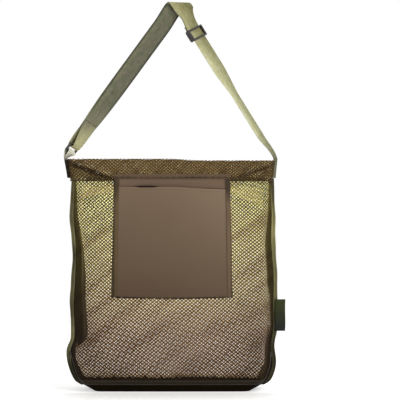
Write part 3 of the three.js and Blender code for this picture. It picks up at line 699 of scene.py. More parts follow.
# Painted shade: the backing is darker than the pocket's front, for the shaded band between the mouth and
# the head tape.
POCKET_BACK_PAINTED_SHADE = pocket_material("pocket_back", colour(84, 65, 48), colour(103, 83, 65))
POCKET_TAPE = tape_material("pocket_tape", colour(82, 65, 48), colour(106, 86, 66))
LEFT_TAPE = tape_material(
    "pocket_left_tape", colour(86, 70, 46), colour(114, 94, 66), LEFT_TAPE_PAINTED_SHADE, LEFT_TAPE_EDGE
)
RIGHT_TAPE = tape_material(
    "pocket_right_tape", colour(98, 79, 61), colour(122, 101, 80), RIGHT_TAPE_PAINTED_SHADE, RIGHT_TAPE_EDGE
)
POCKET_SEAM = tape_material("pocket_seam", colour(30, 20, 12), colour(50, 36, 24))
MOUTH = mouth_material()
WEB = webbing_material("webbing")
# Pale above 0.393 m, and dark olive below 0.383 m: painted shade where the tab's side turns from the light.
TAB_WEB = webbing_material("tab_webbing", (0.383, 0.393), colour(60, 52, 34), colour(244, 243, 226))
ROOT_WEB = webbing_material("root_webbing", (0.383, 0.43), colour(94, 95, 63))
# Pale cream at its foot on both face and reverse: painted light, which lightens the shaded inside of the
# loop round the ring.
LOOP_WEB = webbing_material("loop_webbing", (0.414, 0.446), colour(196, 192, 148), STRAP_FOOT)
HARDWARE = hardware_material()
TAG = tag_material()
THREAD = cloth_material("thread", colour(70, 60, 40), colour(92, 80, 54), 0.6, 0.2, 0.3, 0.4, 0.0006)


# Net panels and hems

SIDES = ("front", "back")


def between_seams(s):
    return (s / PANEL_SPAN > -0.001) & (s / PANEL_SPAN < 1.001)


def add_panel(back):
    height = HEM_BOTTOM + HEM_TUCK

    def place(s, v):
        drift = 0.5 * np.sin(v / 17 + 0.4 * back) + 0.4 * np.sin((s + v) / 29)
        sag = 0.4 * np.sin(s / 21 + 2 * back) + 0.3 * np.sin((s - v) / 33)
        return wall((s + drift) / PANEL_SPAN, v + sag, 0, back)

    def inside(s, v):
        foot = seam_height(np.clip(s / PANEL_SPAN, 0, 1)) - 2
        return between_seams(s) & (v < height) & (v > foot)

    slack = {"turn": math.radians(8), "gather": 0.71} if back else {"strand": FRONT_STRAND}
    piece = net(f"{SIDES[back]}_net", place, height, inside, (NET_OUTSIDE, NET_INSIDE_PAINTED_GLOW), **slack)
    return settle(piece, "bag", "net", f"{SIDES[back]}_panel")


HEM_FOLD = 1.1
HEM_SIDE = BAG_HEIGHT - HEM_FOLD - STRAND_HALF - STRAND_LIFT - HEM_BOTTOM
HEM_TURN = math.pi * HEM_FOLD


def hem_wave(x, z, back):
    """The hem's slack, gathered into a slanting fold near each end."""
    waves = 0.5 * np.sin(x / 13) + 0.4 * np.sin(x / 29 + 1)
    fold = 0 * x
    if not back:
        waves = waves * np.maximum(smooth(abs(x), 96, 106), smooth(z, POCKET_TOP, POCKET_TOP + 8))
        for foot, way in ((-101, -1), (104, 1)):
            beyond = (x - foot) * way
            reach = smooth(beyond, -2, 14) * (1 - smooth(beyond, 52, 68))
            off = z - (HEM_BOTTOM + 4 + beyond * 0.4)
            crest, trough = np.exp(-(((off - 4.5) / 4) ** 2)), np.exp(-(((off + 1.2) / 2.4) ** 2))
            fold = fold + reach * (4.2 * crest - 3.4 * trough)
    return (waves + fold) * smooth(170 - abs(x), 0, 14)


def hem_place(s, v, back):
    share = s / PANEL_SPAN
    over = np.clip((v - HEM_SIDE) / HEM_TURN, 0, 1) * math.pi
    down = np.maximum(v - HEM_SIDE - HEM_TURN, 0)
    z = HEM_BOTTOM + np.minimum(v, HEM_SIDE) + HEM_FOLD * np.sin(over) - down
    middle = sample(WALL, share, z)[..., 0]
    slack = hem_wave(middle, z, back)
    points, ways = wall(share, z, HEM_FOLD * np.cos(over) + slack, back)
    points[..., 0] -= hem_flare(-1, z) * smooth(0.2 - share, 0, 0.13)
    points[..., 0] += hem_flare(1, z) * smooth(share - 0.8, 0, 0.13)
    points[..., 2] -= 2.6 * smooth(middle, -10, 50) * smooth(z, HEM_BOTTOM, BAG_HEIGHT)
    turned = ways * np.cos(over)[..., None] + Z * np.sin(over)[..., None]
    return points, turned


def add_hem(back):
    height = 2 * HEM_SIDE + HEM_TURN

    def place(s, v):
        return hem_place(s, v, back)

    def inside(s, v):
        return between_seams(s) & (v > -0.1) & (v < height + 0.1)

    turn, gather = (math.radians(6), 0.72) if back else (math.radians(4), 0.95)
    piece = net(f"{SIDES[back]}_hem_net", place, height, inside, (HEM_NET, HEM_INSIDE_PAINTED_GLOW), turn, gather)
    return settle(piece, "bag", "net", f"{SIDES[back]}_hem")


def add_roll(name, line, finish, slot, sides=6):
    """A thin roll of cloth. Each place on the line is a middle and half a size outwards and upwards."""
    turn = np.linspace(0, 2 * math.pi, sides + 1)[:-1]
    rings = [[middle + out * math.cos(a) + up * math.sin(a) for a in turn] for middle, out, up in line]
    settle(build(name, tube(rings), finish), "bag", slot)


def add_hem_edge(back):
    """The turned edge along the foot of the hem, sunk where the pocket covers it."""
    share = np.linspace(0.003, 0.997, 160)
    line = []
    for point, way in zip(*hem_place(share * PANEL_SPAN, 0.4 + 0 * share, back)):
        sunk = 0 if back else 1 - smooth(abs(point[0]), 92, 98)
        line.append((point + (0.5 - 1.8 * sunk) * way, 0.9 * way, Z))
    add_roll(f"{SIDES[back]}_hem_edge", line, HEM_EDGE, "binding")


add_hem_edge(False)
add_hem_edge(True)
front_hem, back_hem = add_hem(False), add_hem(True)
front_net, back_net = add_panel(False), add_panel(True)


# Base and tapes

ROUND = np.linspace(0, 1, 81)
BASE_SEAM = seam_height(ROUND)
BASE_TAPE_HALF, BASE_TAPE_OFFSET, BASE_TAPE_THICKNESS = 4, 0.7, 0.6
RIDGE_LOW, RIDGE_HIGH = 8, HEM_BOTTOM + 4


def ring_of(heights, out):
    """Points round the whole bag, back to the first, at a height for each share of the way across."""
    front, back = (wall(ROUND, heights, out, rear)[0] for rear in (False, True))
    return np.concatenate((front, back[::-1][1:-1], front[:1]))


def add_base():
    rows = [ring_of(lerp(BASE_SEAM, 0.6, t), 0.1 + 0.5 * math.sin(9 * t)) for t in np.linspace(0, 1, 12)]
    middle = np.array((0, 0, 0.5))
    floor = [middle + (rows[-1] - middle) * (share, share, 1) for share in (0.97, 0.8, 0.5, 0.15, 0.002)]
    outer = np.array(rows + floor)
    centre = np.array((0, 0, 60))
    inner = outer + unit(centre - outer) * 0.8
    piece = settle(build("base_tray", skin(outer, inner), BASE_CLOTH), "bag", "base_cloth", "base_panel")


def add_base_tape():
    """Tape over the base seam, a little rounded across its width."""
    steps = np.linspace(-BASE_TAPE_HALF, BASE_TAPE_HALF, 5)
    bulge = 0.3 * np.array((0.0, 0.6, 1.0, 0.6, 0.0)) + BASE_TAPE_THICKNESS
    outer, inner = (
        np.array([ring_of(BASE_SEAM + step, BASE_TAPE_OFFSET + rise) for step, rise in zip(steps, rises)])
        for rises in (bulge, 0 * bulge)
    )
    piece = build("base_seam_tape", skin(outer, inner), BASE_TAPE)
    settle(piece, "bag", "binding", "base_binding")


def add_ridge(side, name, solid, finish):
    """A tape folded over the side seam, wandering a little as sewn tape does."""
    turn = np.linspace(-math.pi / 2, math.pi / 2, 7)
    rings = []
    for z in np.linspace(RIDGE_LOW, RIDGE_HIGH, 110):
        foot = seam_at(z) + end_shift(side, z) + 0.5
        reach = 4.6 + 0.5 * math.sin(z / 19 + side) + 0.3 * math.sin(z / 7.3)
        lean = 0.7 * math.sin(z / 31 + 2 * side) + 0.35 * math.sin(z / 11)
        half = 1.6 + 0.2 * math.sin(z / 5.1)
        nose = [(reach - half + half * math.cos(a), half * math.sin(a)) for a in turn]
        legs = [(-2.6, -6.2), *((r, 2.6 * r - half * 0.9) for r in (-2.2, -0.6, 0.6))]
        hollow = [(-2.4, 4.6), (-0.8, 0), (-2.4, -4.6)]
        outline = [*legs, *nose, *((r, -y) for r, y in legs[::-1]), *hollow]
        rings.append([(side * (foot + r), y + lean * max(r, 0) / reach, z) for r, y in outline])
    settle(build(name, tube(rings), finish), "bag", "binding", solid)


# Share of the way up, then share of the way across the panel that the dark sheet of painted side shade
# reaches
LEFT_REACH = ((0, 0.05), (0.11, 0.05), (0.2, 0.125), (0.5, 0.114), (0.7, 0.079), (0.8, 0.056), (1, 0.022))
RIGHT_REACH = (
    (0, 0.13), (0.05, 0.12), (0.13, 0.032), (0.3, 0.036),
    (0.45, 0.075), (0.65, 0.075), (0.8, 0.045), (1, 0.022),
)


def add_painted_side_shade(name, left, reaches, finish):
    """Dark sheet behind the net along the narrow side between the creases: painted shade, for the shade of
    the side, which is net seen at a slant. reaches gives the share of the way across the panel that it
    reaches at each share of the way up.
    """
    rows = np.linspace(0, 1, 64)[:, None]
    reach = np.interp(rows, *np.transpose(reaches)) * np.linspace(0, 1, 9)
    share = reach if left else 1 - reach
    z = lerp(seam_height(share), HEM_BOTTOM + 4, rows)

    def grid(out):
        front, back = (wall(share, z, out, rear)[0] for rear in (False, True))
        return np.concatenate((front[:, ::-1], back[:, 1:]), 1)

    piece = settle(build(name, skin(grid(-0.9), grid(-1.5)), finish), "bag", "base_cloth")


add_base()
add_base_tape()
add_painted_side_shade("left_side_painted_shade", True, LEFT_REACH, LEFT_SIDE_PAINTED_SHADE)
add_painted_side_shade("right_side_painted_shade", False, RIGHT_REACH, RIGHT_SIDE_PAINTED_SHADE)
add_ridge(-1, "left_ridge", "left_side_binding", LEFT_BINDING)
add_ridge(1, "right_ridge", "right_side_binding", RIGHT_BINDING)


# Pocket

def pocket_half(z):
    up = (z - POCKET_BOTTOM) / (POCKET_TOP - POCKET_BOTTOM)
    return lerp(POCKET_WIDTH_BOTTOM, POCKET_WIDTH_TOP, up) / 2


def gape(x, z):
    across = np.maximum(0, 1 - (x / (pocket_half(z) - TAPE_WIDTH)) ** 2)
    slack = 0.35 * np.sin(x / 23 + z / 60) * smooth(z, POCKET_BOTTOM, 200)
    return across * (POCKET_GAPE * 0.55 * smooth(z, POCKET_BOTTOM, POCKET_MOUTH) + slack)


def mouth_dip(x, z):
    """How far the pocket's front has slipped down towards the right of its mouth."""
    return 4.5 * smooth(x, -15, 88) * smooth(z, 285, POCKET_MOUTH)


def foot_sag(x):
    return POCKET_SAG * (1 - (x / pocket_half(POCKET_BOTTOM)) ** 2)


def on_face(x, z, out):
    """Points that stand off from the bag's front face."""
    return np.stack((x, -face_depth(x, z) - out, z), -1)


# Each edge of a sheet is a side of the pocket and how far in from it the sheet ends.
WHOLE = ((-1, 0), (1, 0))
LEFT_STRIP, RIGHT_STRIP = ((-1, 0), (-1, TAPE_WIDTH)), ((1, TAPE_WIDTH), (1, 0))


def face_sheet(name, edges, bottom, top, offset, thickness, finish, spread=0.0, columns=48, rows=48):
    """A sheet on the front face between two edges, standing off by the pocket's gape times spread."""
    t, z = np.meshgrid(np.linspace(0, 1, columns), np.linspace(bottom, top, rows))
    left, right = (side * (pocket_half(z) - inset) for side, inset in edges)
    x = lerp(left, right, t)
    z = z - foot_sag(x) * smooth(40 - (z - POCKET_BOTTOM), 0, 40)
    z = z - spread * mouth_dip(x, z)
    inner, outer = (on_face(x, z, out + spread * gape(x, z)) for out in (offset, offset + thickness))
    return build(name, skin(outer, inner), finish)


def add_pocket_sheets():
    low = POCKET_BOTTOM
    backing = face_sheet("pocket_back_sheet", WHOLE, low, POCKET_TOP, BACKING_OFFSET, CLOTH, POCKET_BACK_PAINTED_SHADE)
    settle(backing, "bag", "pocket", "pocket_backing")
    front = face_sheet("pocket_front_sheet", WHOLE, low, POCKET_MOUTH, FRONT_OFFSET, CLOTH, POCKET, 1.0)
    settle(front, "bag", "pocket", "pocket_front")


def add_pocket_tapes():
    head = face_sheet(
        "pocket_head_tape", WHOLE, HEAD_TAPE_LOW, POCKET_TOP, FRONT_OFFSET, HEAD_TAPE, POCKET_TAPE, rows=6
    )
    settle(head, "bag", "pocket_tape", "pocket_top_tape")
    for name, strip, finish, solid in (
        ("pocket_left_edge", LEFT_STRIP, LEFT_TAPE, "pocket_left_tape"),
        ("pocket_right_edge", RIGHT_STRIP, RIGHT_TAPE, "pocket_right_tape"),
    ):
        tape = face_sheet(name, strip, POCKET_BOTTOM, SIDE_TAPE_TOP, TAPE_OFFSET, CLOTH, finish, columns=6)
        settle(tape, "bag", "pocket_tape", solid)


def add_mouth():
    """The turned edge of the pocket's front, which sags into a slit left of the middle, painted dark there
    for the shade in the slit.
    """
    reach = pocket_half(POCKET_MOUTH) - TAPE_WIDTH
    line = []
    for x in np.linspace(-reach, reach, 90):
        slit = smooth(x, -64, -50) * (1 - smooth(x, -34, -20))
        radius = 0.6 + 1.1 * slit
        z = POCKET_MOUTH - 0.4 - 0.6 * slit + 0.3 * math.sin(x / 9) - mouth_dip(x, POCKET_MOUTH)
        middle = on_face(x, z, FRONT_OFFSET + CLOTH / 2 + gape(x, z))
        line.append((middle, -0.9 * radius * Y, radius * Z))
    add_roll("pocket_mouth_edge", line, MOUTH, "pocket_tape", 8)


def add_head_seam():
    """The sunken line of stitches along the tape at the pocket's head."""
    reach = pocket_half(HEAD_SEAM) - 1
    line = []
    for x in np.linspace(-reach, reach, 120):
        radius = 0.55 + 0.25 * math.sin(x / 1.7) + 0.25 * math.sin(x / 23)
        middle = on_face(x, HEAD_SEAM, FRONT_OFFSET + 0.7) + 0.6 * Z
        line.append((middle, -0.5 * Y, radius * Z))
    add_roll("pocket_head_seam", line, POCKET_SEAM, "pocket_tape")


def add_foot_edge():
    """The rough turned edge along the pocket's foot."""
    reach = pocket_half(POCKET_BOTTOM) - 0.5
    line = []
    for x in np.linspace(-reach, reach, 120):
        radius = 1.0 + 0.35 * math.sin(x / 2.1) + 0.25 * math.sin(x / 17)
        middle = on_face(x, POCKET_BOTTOM - foot_sag(x) + 0.6, FRONT_OFFSET + 0.6)
        line.append((middle, -0.8 * Y, radius * Z))
    add_roll("pocket_foot_edge", line, POCKET_SEAM, "pocket_tape")


add_pocket_sheets()
add_pocket_tapes()
add_mouth()
add_head_seam()
add_foot_edge()


# Tag

def add_tag():
    """A blank woven label, folded at its free edge."""
    turn = np.linspace(-math.pi / 2, math.pi / 2, 7)
    outline = [(t * TAG_REACH, -0.5) for t in np.linspace(0, 1, 9)[:-1]]
    outline += [(TAG_REACH + 0.55 * math.cos(a), 0.5 * math.sin(a)) for a in turn]
    outline += [(t * TAG_REACH, 0.5) for t in np.linspace(1, 0, 9)[1:]]
    rings = []
    for z in np.linspace(TAG_BOTTOM, TAG_TOP, 24):
        foot = seam_at(z) + end_shift(1, z) + 0.7
        up = (z - TAG_BOTTOM) / (TAG_TOP - TAG_BOTTOM)
        curl = 0.8 * math.sin(up * math.pi) + 0.4 * math.sin(z / 9)
        rings.append([(foot + r, -2.6 + y - curl * (r / 18) ** 2, z) for r, y in outline])
    settle(build("side_label", tube(rings), TAG), "bag", "tag", "side_tag")


add_tag()


# Strap: each station has a middle, half a width and the way its face looks.

TAB_MIDDLE = seam_at(BAG_HEIGHT) + SEWN_OFFSET + LAYER
FOLD_RADIUS = 2 * LAYER + CLEARANCE / 2
FOLD = np.array((STRAP_ASIDE, 0, BAG_HEIGHT + STRAP_RISE), float)
LEFT_FOLD, RIGHT_FOLD = FOLD + Y * FOLD_RADIUS, FOLD - Y * FOLD_RADIUS
LOWER_BAR = np.array((-TAB_MIDDLE, 0, BAG_HEIGHT + RING_STANDOFF))
RIGHT_END = np.array((seam_at(BAG_HEIGHT) + SEWN_OFFSET - LAYER, 0, BAG_HEIGHT))
RING_UP = unit(LEFT_FOLD - LOWER_BAR)
UPPER_BAR = LOWER_BAR + RING_UP * RING_PITCH
LEFT_DOWN, RIGHT_DOWN = -RING_UP, unit(RIGHT_END - RIGHT_FOLD)
LEFT_LENGTH = np.linalg.norm(LEFT_FOLD - UPPER_BAR)
RIGHT_LENGTH = np.linalg.norm(RIGHT_FOLD - RIGHT_END)
FOLD_LINE = unit((RIGHT_DOWN - LEFT_DOWN) * (1, 0, 1))
FOLD_UP = np.cross(FOLD_LINE, Y)
SKEW_HALF = WEBBING / 2 / np.linalg.norm(np.cross(FOLD_LINE, RIGHT_DOWN))
LEFT_JOIN, RIGHT_JOIN = LEFT_LENGTH - ROOT_LENGTH, RIGHT_LENGTH - ROOT_LENGTH
RETURN_END, LOOP_START = 19, SLIDER_FROM_APEX - LOOP_TAIL
# How far the right leg and the left leg slip along the fold
FOLD_SPREAD = (5, -2.5)


def leg_frame(down, outer, twist):
    across = unit(FOLD_LINE - down * np.dot(FOLD_LINE, down))
    half = across * math.cos(twist) + Y * math.sin(twist)
    return half, Y * outer * math.cos(twist) - across * outer * math.sin(twist)


def left_twist(d):
    return LEFT_TWIST * (d / LEFT_LENGTH) ** 3


def right_twist(d):
    steady = SLIDER_FROM_APEX + SLIDER_TRAVEL + SLIDER_LENGTH
    upper = RIGHT_TWIST * smooth(d, -6, 30)
    return lerp(upper, LOWER_TWIST, smooth(d, steady, steady + 62))


def leg_station(left, d, layer):
    start, down, outer = (LEFT_FOLD, LEFT_DOWN, 1) if left else (RIGHT_FOLD, RIGHT_DOWN, -1)
    half, face = leg_frame(down, outer, left_twist(d) if left else right_twist(d))
    width = lerp(FOLD_LINE * SKEW_HALF, half * WEBBING / 2, smooth(d, 0, 20))
    aside = FOLD_SPREAD[left] * (1 - smooth(d, 10, 48))
    return start + down * d + face * layer + FOLD_LINE * aside, width, face


def bend(centre, side, way, radius, reach, half, count):
    """Stations half way round a centre: a radius off it on both sides, and a reach off it along the way."""
    stations = []
    for turn in np.linspace(0, math.pi, count):
        cosine, sine = math.cos(turn), math.sin(turn)
        at = centre + side * radius * cosine + way * reach * sine
        stations.append((at, half, side * cosine + way * sine))
    return stations


def fold_stations(layer):
    """Stations over the fold, which slip along it as its two legs do."""
    radius, count = FOLD_RADIUS + layer, 11
    turn = bend(FOLD, -Y, FOLD_UP, radius, radius, FOLD_LINE * SKEW_HALF, count)
    slips = np.linspace(*FOLD_SPREAD, count)
    return [(at + FOLD_LINE * slip, half, face) for slip, (at, half, face) in zip(slips, turn)][1:-1]


def leg_run(left, start, stop, layer, step=5.0):
    count = max(2, math.ceil(abs(stop - start) / step))
    return [leg_station(left, d, layer) for d in np.linspace(start, stop, count + 1)]


def bridge(start, way_out, end, way_in, count):
    reach = np.linalg.norm(start[0] - end[0])
    a, d = start[0], end[0]
    b, c = a + way_out * reach / 3, d - way_in * reach / 3
    stations = []
    for t in np.linspace(0, 1, count + 2)[1:-1]:
        at = (1 - t) ** 3 * a + 3 * t * (1 - t) ** 2 * b + 3 * t * t * (1 - t) * c + t**3 * d
        half = unit(lerp(start[1], end[1], t)) * WEBBING / 2
        stations.append((at, half, unit(lerp(start[2], end[2], t))))
    return stations


EDGE = 1 - 0.9 / (WEBBING / 2)
ACROSS = np.array((-1, -EDGE, -0.62, -0.31, 0, 0.31, 0.62, EDGE, 1))
SWELL_ACROSS = np.array((0.45, 1, 0.94, 0.92, 0.92, 0.92, 0.94, 1, 0.45)) * WEBBING_THICKNESS / 2


def ribbon(name, stations, finish=WEB):
    """Webbing with rounded edges. Its weave map runs across and along it in metres."""
    rings = []
    for at, half, face in stations:
        top = [at + half * a + face * t for a, t in zip(ACROSS, SWELL_ACROSS)]
        under = [at + half * a - face * t for a, t in zip(ACROSS, SWELL_ACROSS)]
        rings.append(top + under[::-1])
    shape = tube(rings)
    runs = run_along(np.array([at for at, half, face in stations])) * MM
    around = np.concatenate((ACROSS, ACROSS[::-1])) * WEBBING / 2 * MM
    count = len(around)
    weave = []
    for face in shape[1]:
        reverse = sum(k % count >= len(ACROSS) for k in face) > len(face) / 2
        weave += [(around[k % count] + reverse, runs[k // count]) for k in face]
    return build(name, shape, finish, weave=weave)


def strap_run(layer, right_stop, left_stop):
    count = max(4, int(right_stop / 4))
    near = [leg_station(False, d, layer) for d in np.linspace(right_stop, 0, count + 1)]
    return near + fold_stations(layer) + leg_run(True, 0, left_stop, layer, 4)


outer_web = ribbon("strap_run", strap_run(LAYER, RIGHT_JOIN, LEFT_JOIN))
return_web = ribbon("strap_second_layer", strap_run(-LAYER, RETURN_END, LEFT_JOIN))
settle(outer_web, "strap", "webbing", "strap_outer")
settle(return_web, "strap", "webbing", "strap_return")
tail_web = ribbon("strap_tail_layer", leg_run(False, RETURN_END, LOOP_START, -LAYER, 3))
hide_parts("strap_tail")
tail_start, tail_end = (tuple((RIGHT_FOLD + RIGHT_DOWN * d) * MM) for d in (RETURN_END, LOOP_START))
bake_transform(tail_web)


def sewn_station(side, z, extra, face):
    """Webbing against the end of the hem. The right one stands off a little towards the back."""
    lean = math.radians(14) if side > 0 else 0.0
    half = (Y * math.cos(lean) + X * math.sin(lean)) * WEBBING / 2
    x = seam_at(min(z, BAG_HEIGHT)) + hem_flare(side, z) + SEWN_OFFSET + extra
    return np.array((side * x, 0, z)), half, (X * math.cos(lean) - Y * math.sin(lean)) * face


SEWN = np.linspace(BAG_HEIGHT - SEWN_LENGTH, BAG_HEIGHT, 9)
anchor_web = ribbon("strap_sewn_end", [sewn_station(1, z, -1, 1) for z in SEWN], ROOT_WEB)
settle(anchor_web, "bag", "webbing", "strap_anchor")

root_foot, root_top = sewn_station(1, BAG_HEIGHT, -1, 1), leg_station(False, RIGHT_JOIN, LAYER)
root_run = bridge(root_foot, unit(Z - 0.3 * X), root_top, -RIGHT_DOWN, 14)
right_root = ribbon("strap_right_stretch", [root_foot, *root_run, root_top], ROOT_WEB)

RING_HALF, RING_FACE = leg_frame(LEFT_DOWN, 1, LEFT_TWIST)
LOOP_RADIUS = RING_BAR / 2 + RING_PLAY + CLEARANCE + WEBBING_THICKNESS / 2
TAB_RADIUS = RING_BAR / 2 * math.sqrt(2) + 2 * CLEARANCE + WEBBING_THICKNESS / 2


def left_root_stations():
    outer_top, inner_top = leg_station(True, LEFT_JOIN, LAYER), leg_station(True, LEFT_JOIN, -LAYER)
    inner_top = (inner_top[0], inner_top[1], -inner_top[2])
    turn = bend(UPPER_BAR, RING_FACE, LEFT_DOWN, LOOP_RADIUS, LOOP_RADIUS, RING_HALF * WEBBING / 2, 13)
    downwards = bridge(outer_top, LEFT_DOWN, turn[0], LEFT_DOWN, 10)
    upwards = bridge(turn[-1], RING_UP, inner_top, RING_UP, 10)
    return [outer_top, *downwards, *turn, *upwards, inner_top]


def tab_stations():
    inner = [sewn_station(-1, z, 0, 1) for z in SEWN]
    outer = [sewn_station(-1, z, 2 * LAYER, -1) for z in SEWN[::-1]]
    turn = bend(LOWER_BAR, -RING_FACE, RING_UP, TAB_RADIUS, TAB_RADIUS, RING_HALF * WEBBING / 2, 13)
    upwards = bridge(inner[-1], Z, turn[0], RING_UP, 4)
    downwards = bridge(turn[-1], LEFT_DOWN, outer[0], -Z, 4)
    return [*inner, *upwards, *turn, *downwards, *outer]


left_root = ribbon("strap_ring_loop", left_root_stations(), LOOP_WEB)
tab_web = ribbon("ring_holder", tab_stations(), TAB_WEB)
settle(tab_web, "bag", "webbing", "ring_tab")
for piece, solid, low, high in (
    (right_root, "strap_right_root", 0.388, 0.425),
    (left_root, "strap_left_root", 0.412, 0.444),
):
    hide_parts(solid)
    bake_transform(piece)

SLIDER_HALF, SLIDER_FACE = leg_frame(RIGHT_DOWN, -1, RIGHT_TWIST)
SLIDER_MIDDLE = RIGHT_FOLD + RIGHT_DOWN * SLIDER_FROM_APEX
FRONT_LEVEL = LAYER + WEBBING_THICKNESS / 2 + CLEARANCE


def slider_loop_stations():
    half = SLIDER_HALF * WEBBING / 2

    def place(along, level):
        return SLIDER_MIDDLE + RIGHT_DOWN * along + SLIDER_FACE * level

    bar = -FRONT_LEVEL - SLIDER_BAR_HEIGHT / 2
    radius = -bar - LAYER
    reach = SLIDER_BAR / 2 + WEBBING_THICKNESS / 2 + 2 * CLEARANCE
    front = [(place(along, -LAYER), half, SLIDER_FACE) for along in np.linspace(-LOOP_TAIL, -1, 6)]
    turn = bend(place(0, bar), SLIDER_FACE, RIGHT_DOWN, radius, reach, half, 11)
    back = []
    for t in np.linspace(0, 1, 9)[1:]:
        level = lerp(bar - radius, -3 * LAYER, smooth(t, 0, 0.8))
        back.append((place(-LOOP_TAIL * t, level), half, -SLIDER_FACE))
    return front + turn + back


loop_web = ribbon("slider_sewn_loop", slider_loop_stations())
settle(loop_web, "slider", "webbing", "slider_loop")

for name in ("ring", "slider"):
    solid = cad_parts[name]
    solid.data.materials.clear()
    solid.data.materials.append(HARDWARE)


# Stitches

class Stitches:
    """Rows of small thread loops, gathered into one mesh for a body."""

    def __init__(self):
        self.points, self.faces = [], []

    def row(self, line, ways, pitch=3.6, length=2.5, width=0.55, height=0.4, depth=0.3):
        """Stitches along a line. ways says where the cloth faces, all along it or at each point."""
        ways = np.broadcast_to(ways, line.shape)
        run = run_along(line)
        spots = np.arange(pitch / 2, run[-1], pitch)
        up = unit(at_runs(ways, run, spots))
        along = unit(at_runs(line, run, spots + 0.1) - at_runs(line, run, spots - 0.1))
        side = unit(np.cross(along, up))
        for p, a, u, s in zip(at_runs(line, run, spots), along * length / 2, up, side * width / 2):
            base = len(self.points)
            self.points += [p - a, p + a, p + s, p + u * height, p - s, p - u * depth]
            for k in range(4):
                m, n = base + 2 + k, base + 2 + (k + 1) % 4
                self.faces += [[base, m, n], [base + 1, n, m]]

    def add(self, name, body, slot):
        places = []
        for k in range(len(self.faces)):
            u, v = (k % 64) / 64, (k // 64) / (len(self.faces) / 64 + 1)
            places += [(u, v), (u + 0.01, v), (u, v + 0.004)]
        settle(build(name, (self.points, self.faces, places), THREAD), body, slot)


def sew_panels(rows):
    """Two rows along each hem's foot and two along the base seam."""
    share = np.linspace(0.02, 0.98, 160)
    for back in (False, True):
        for height in (HEM_BOTTOM + 3, HEM_BOTTOM + 6.5):
            z = height + 0 * share
            slack = hem_wave(sample(WALL, share, z)[..., 0], z, back)
            rows.row(*wall(share, z, HEM_FOLD + STRAND_HALF + STRAND_LIFT + slack, back))
        for step in (-2.8, 2.8):
            rows.row(*wall(share, seam_height(share) + step, 1.5, back))


def sew_sides(rows):
    """Two rows down each side of the pocket and one on each face of the side ridges."""
    for side in (-1, 1):
        for inset in (1.6, 6.4):
            z = np.linspace(POCKET_BOTTOM + 1, HEAD_TAPE_LOW - 1, 60)
            rows.row(on_face(side * (pocket_half(z) - inset), z, TAPE_OFFSET + CLOTH), -Y)
        z = np.linspace(BASE_END + 6, HEM_BOTTOM - 2, 90)
        for face in (-1, 1):
            rows.row(np.stack((side * (seam_at(z) + 2.6), 0 * z + 1.9 * face, z), 1), face * Y)


def sew_pocket(rows):
    """Two rows along the pocket's head, one along its foot and one along its mouth."""
    for height, thickness in (
        (HEAD_SEAM, HEAD_TAPE),
        (HEAD_SEAM + 4, HEAD_TAPE),
        (POCKET_BOTTOM + 5.5, CLOTH),
        (POCKET_MOUTH - 5.5, CLOTH),
    ):
        reach = pocket_half(height) - 1.5
        x = np.linspace(-reach, reach, 80)
        z = height + 0 * x
        off = 0 * x
        if height < POCKET_MOUTH:
            z = z - mouth_dip(x, z)
            off = gape(x, z)
        rows.row(on_face(x, z, FRONT_OFFSET + thickness + off), -Y)


def sew_strap_ends(rows):
    """A crossed box on each sewn end of the strap."""
    low, high, edge = BAG_HEIGHT - SEWN_LENGTH + 4, BAG_HEIGHT - 4, 12
    box = ((-edge, low), (edge, low), (edge, high), (-edge, high), (-edge, low))
    corners = (*box, (edge, high), (edge, low), (-edge, high))
    t = np.linspace(0, 1, 12)
    for side, extra in ((1, 0), (-1, 2 * LAYER)):
        for (y0, z0), (y1, z1) in zip(corners, corners[1:]):
            z = lerp(z0, z1, t)
            x = side * (seam_at(z) + SEWN_OFFSET + extra + WEBBING_THICKNESS / 2)
            rows.row(np.stack((x, lerp(y0, y1, t), z), 1), X * side, pitch=3)


def sew_bag():
    rows = Stitches()
    sew_panels(rows)
    sew_sides(rows)
    sew_pocket(rows)
    sew_strap_ends(rows)
    rows.add("bag_stitching", "bag", "binding")


def sew_loop():
    rows = Stitches()
    t = np.linspace(-12, 12, 12)[:, None]
    level = -3 * LAYER - WEBBING_THICKNESS / 2
    for along in (-8, -15):
        middle = SLIDER_MIDDLE + RIGHT_DOWN * along + SLIDER_FACE * level
        rows.row(middle + SLIDER_HALF * t, -SLIDER_FACE, pitch=2.6, length=2)
    rows.add("slider_loop_stitching", "slider", "webbing")


sew_bag()
sew_loop()


# Floor, light and camera

def seen_plainly(look):
    """One for the camera, reflections and what is seen through glass, and nothing for other light."""
    rays = ("Is Camera Ray", "Is Glossy Ray", "Is Transmission Ray")
    camera, glossy, through = (look.value("LightPath", ray) for ray in rays)
    return camera | glossy | through


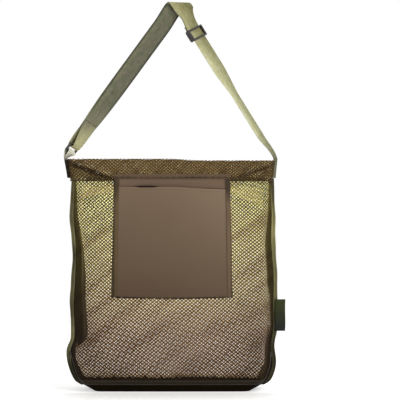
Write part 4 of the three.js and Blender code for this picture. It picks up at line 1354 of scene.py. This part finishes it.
def add_floor():
    """A white floor with a glow that gives way in front of the bag, so that its shadow shows."""
    mesh = bpy.data.meshes.new("floor")
    corners = [(-6, -4, 0), (6, -4, 0), (6, 8, 0), (-6, 8, 0)]
    mesh.from_pydata(corners, [], [(0, 1, 2, 3)])
    floor = bpy.data.objects.new("floor", mesh)
    bpy.context.scene.collection.objects.link(floor)
    look = material("floor", 0.9, specular=0.1)
    look.finish("Base Color", colour(245, 245, 244))
    look.finish("Emission Color", WHITE)
    ahead, beside = look.axis("Y"), abs(look.axis("X"))
    # Painted shadow: the glow is weaker in a patch in front of the bag, which darkens the floor there on
    # top of the real shadow.
    near = ahead.share(-0.32, -0.08) * ahead.share(-0.03, -0.07) * beside.share(0.24, 0.13)
    glow = near * -0.43 + 0.5
    look.finish("Emission Strength", seen_plainly(look) * glow)
    mesh.materials.append(look.owner)


def add_light():
    scene = bpy.context.scene
    scene.world = bpy.data.worlds.new("studio")
    look = Look(scene.world, "Background")
    look.finish("Color", WHITE)
    look.finish("Strength", seen_plainly(look) * 0.45 + 0.55)
    for name, place, aim, size, power in (
        ("key", (1.5, -1.5, 1.7), (0, 0, 0.3), 1.2, 36),
        ("fill", (-1.6, -1.4, 0.8), (0, 0, 0.3), 1.4, 8),
        ("inside", (0, -0.04, 0.19), (0, 0.05, 0.19), 0.3, 0.9),
    ):
        data = bpy.data.lights.new(name, "AREA")
        data.size = size
        data.energy = power
        lamp = bpy.data.objects.new(name, data)
        lamp.location = place
        lamp.visible_camera = False
        way = unit(np.array(aim) - np.array(place))
        lamp.rotation_euler = (math.acos(-way[2]), 0, math.atan2(-way[0], way[1]))
        scene.collection.objects.link(lamp)


def add_camera():
    data = bpy.data.cameras.new("camera")
    data.lens = 161.2
    data.sensor_width = 36
    camera = bpy.data.objects.new("camera", data)
    camera.location = (0.046, -3.0, 0.317)
    camera.rotation_euler = (math.pi / 2, 0, 0)
    bpy.context.scene.collection.objects.link(camera)
    bpy.context.scene.camera = camera


add_floor()
add_light()
add_camera()
bpy.context.scene.view_settings.view_transform = "Standard"

bpy.context.view_layer.update()
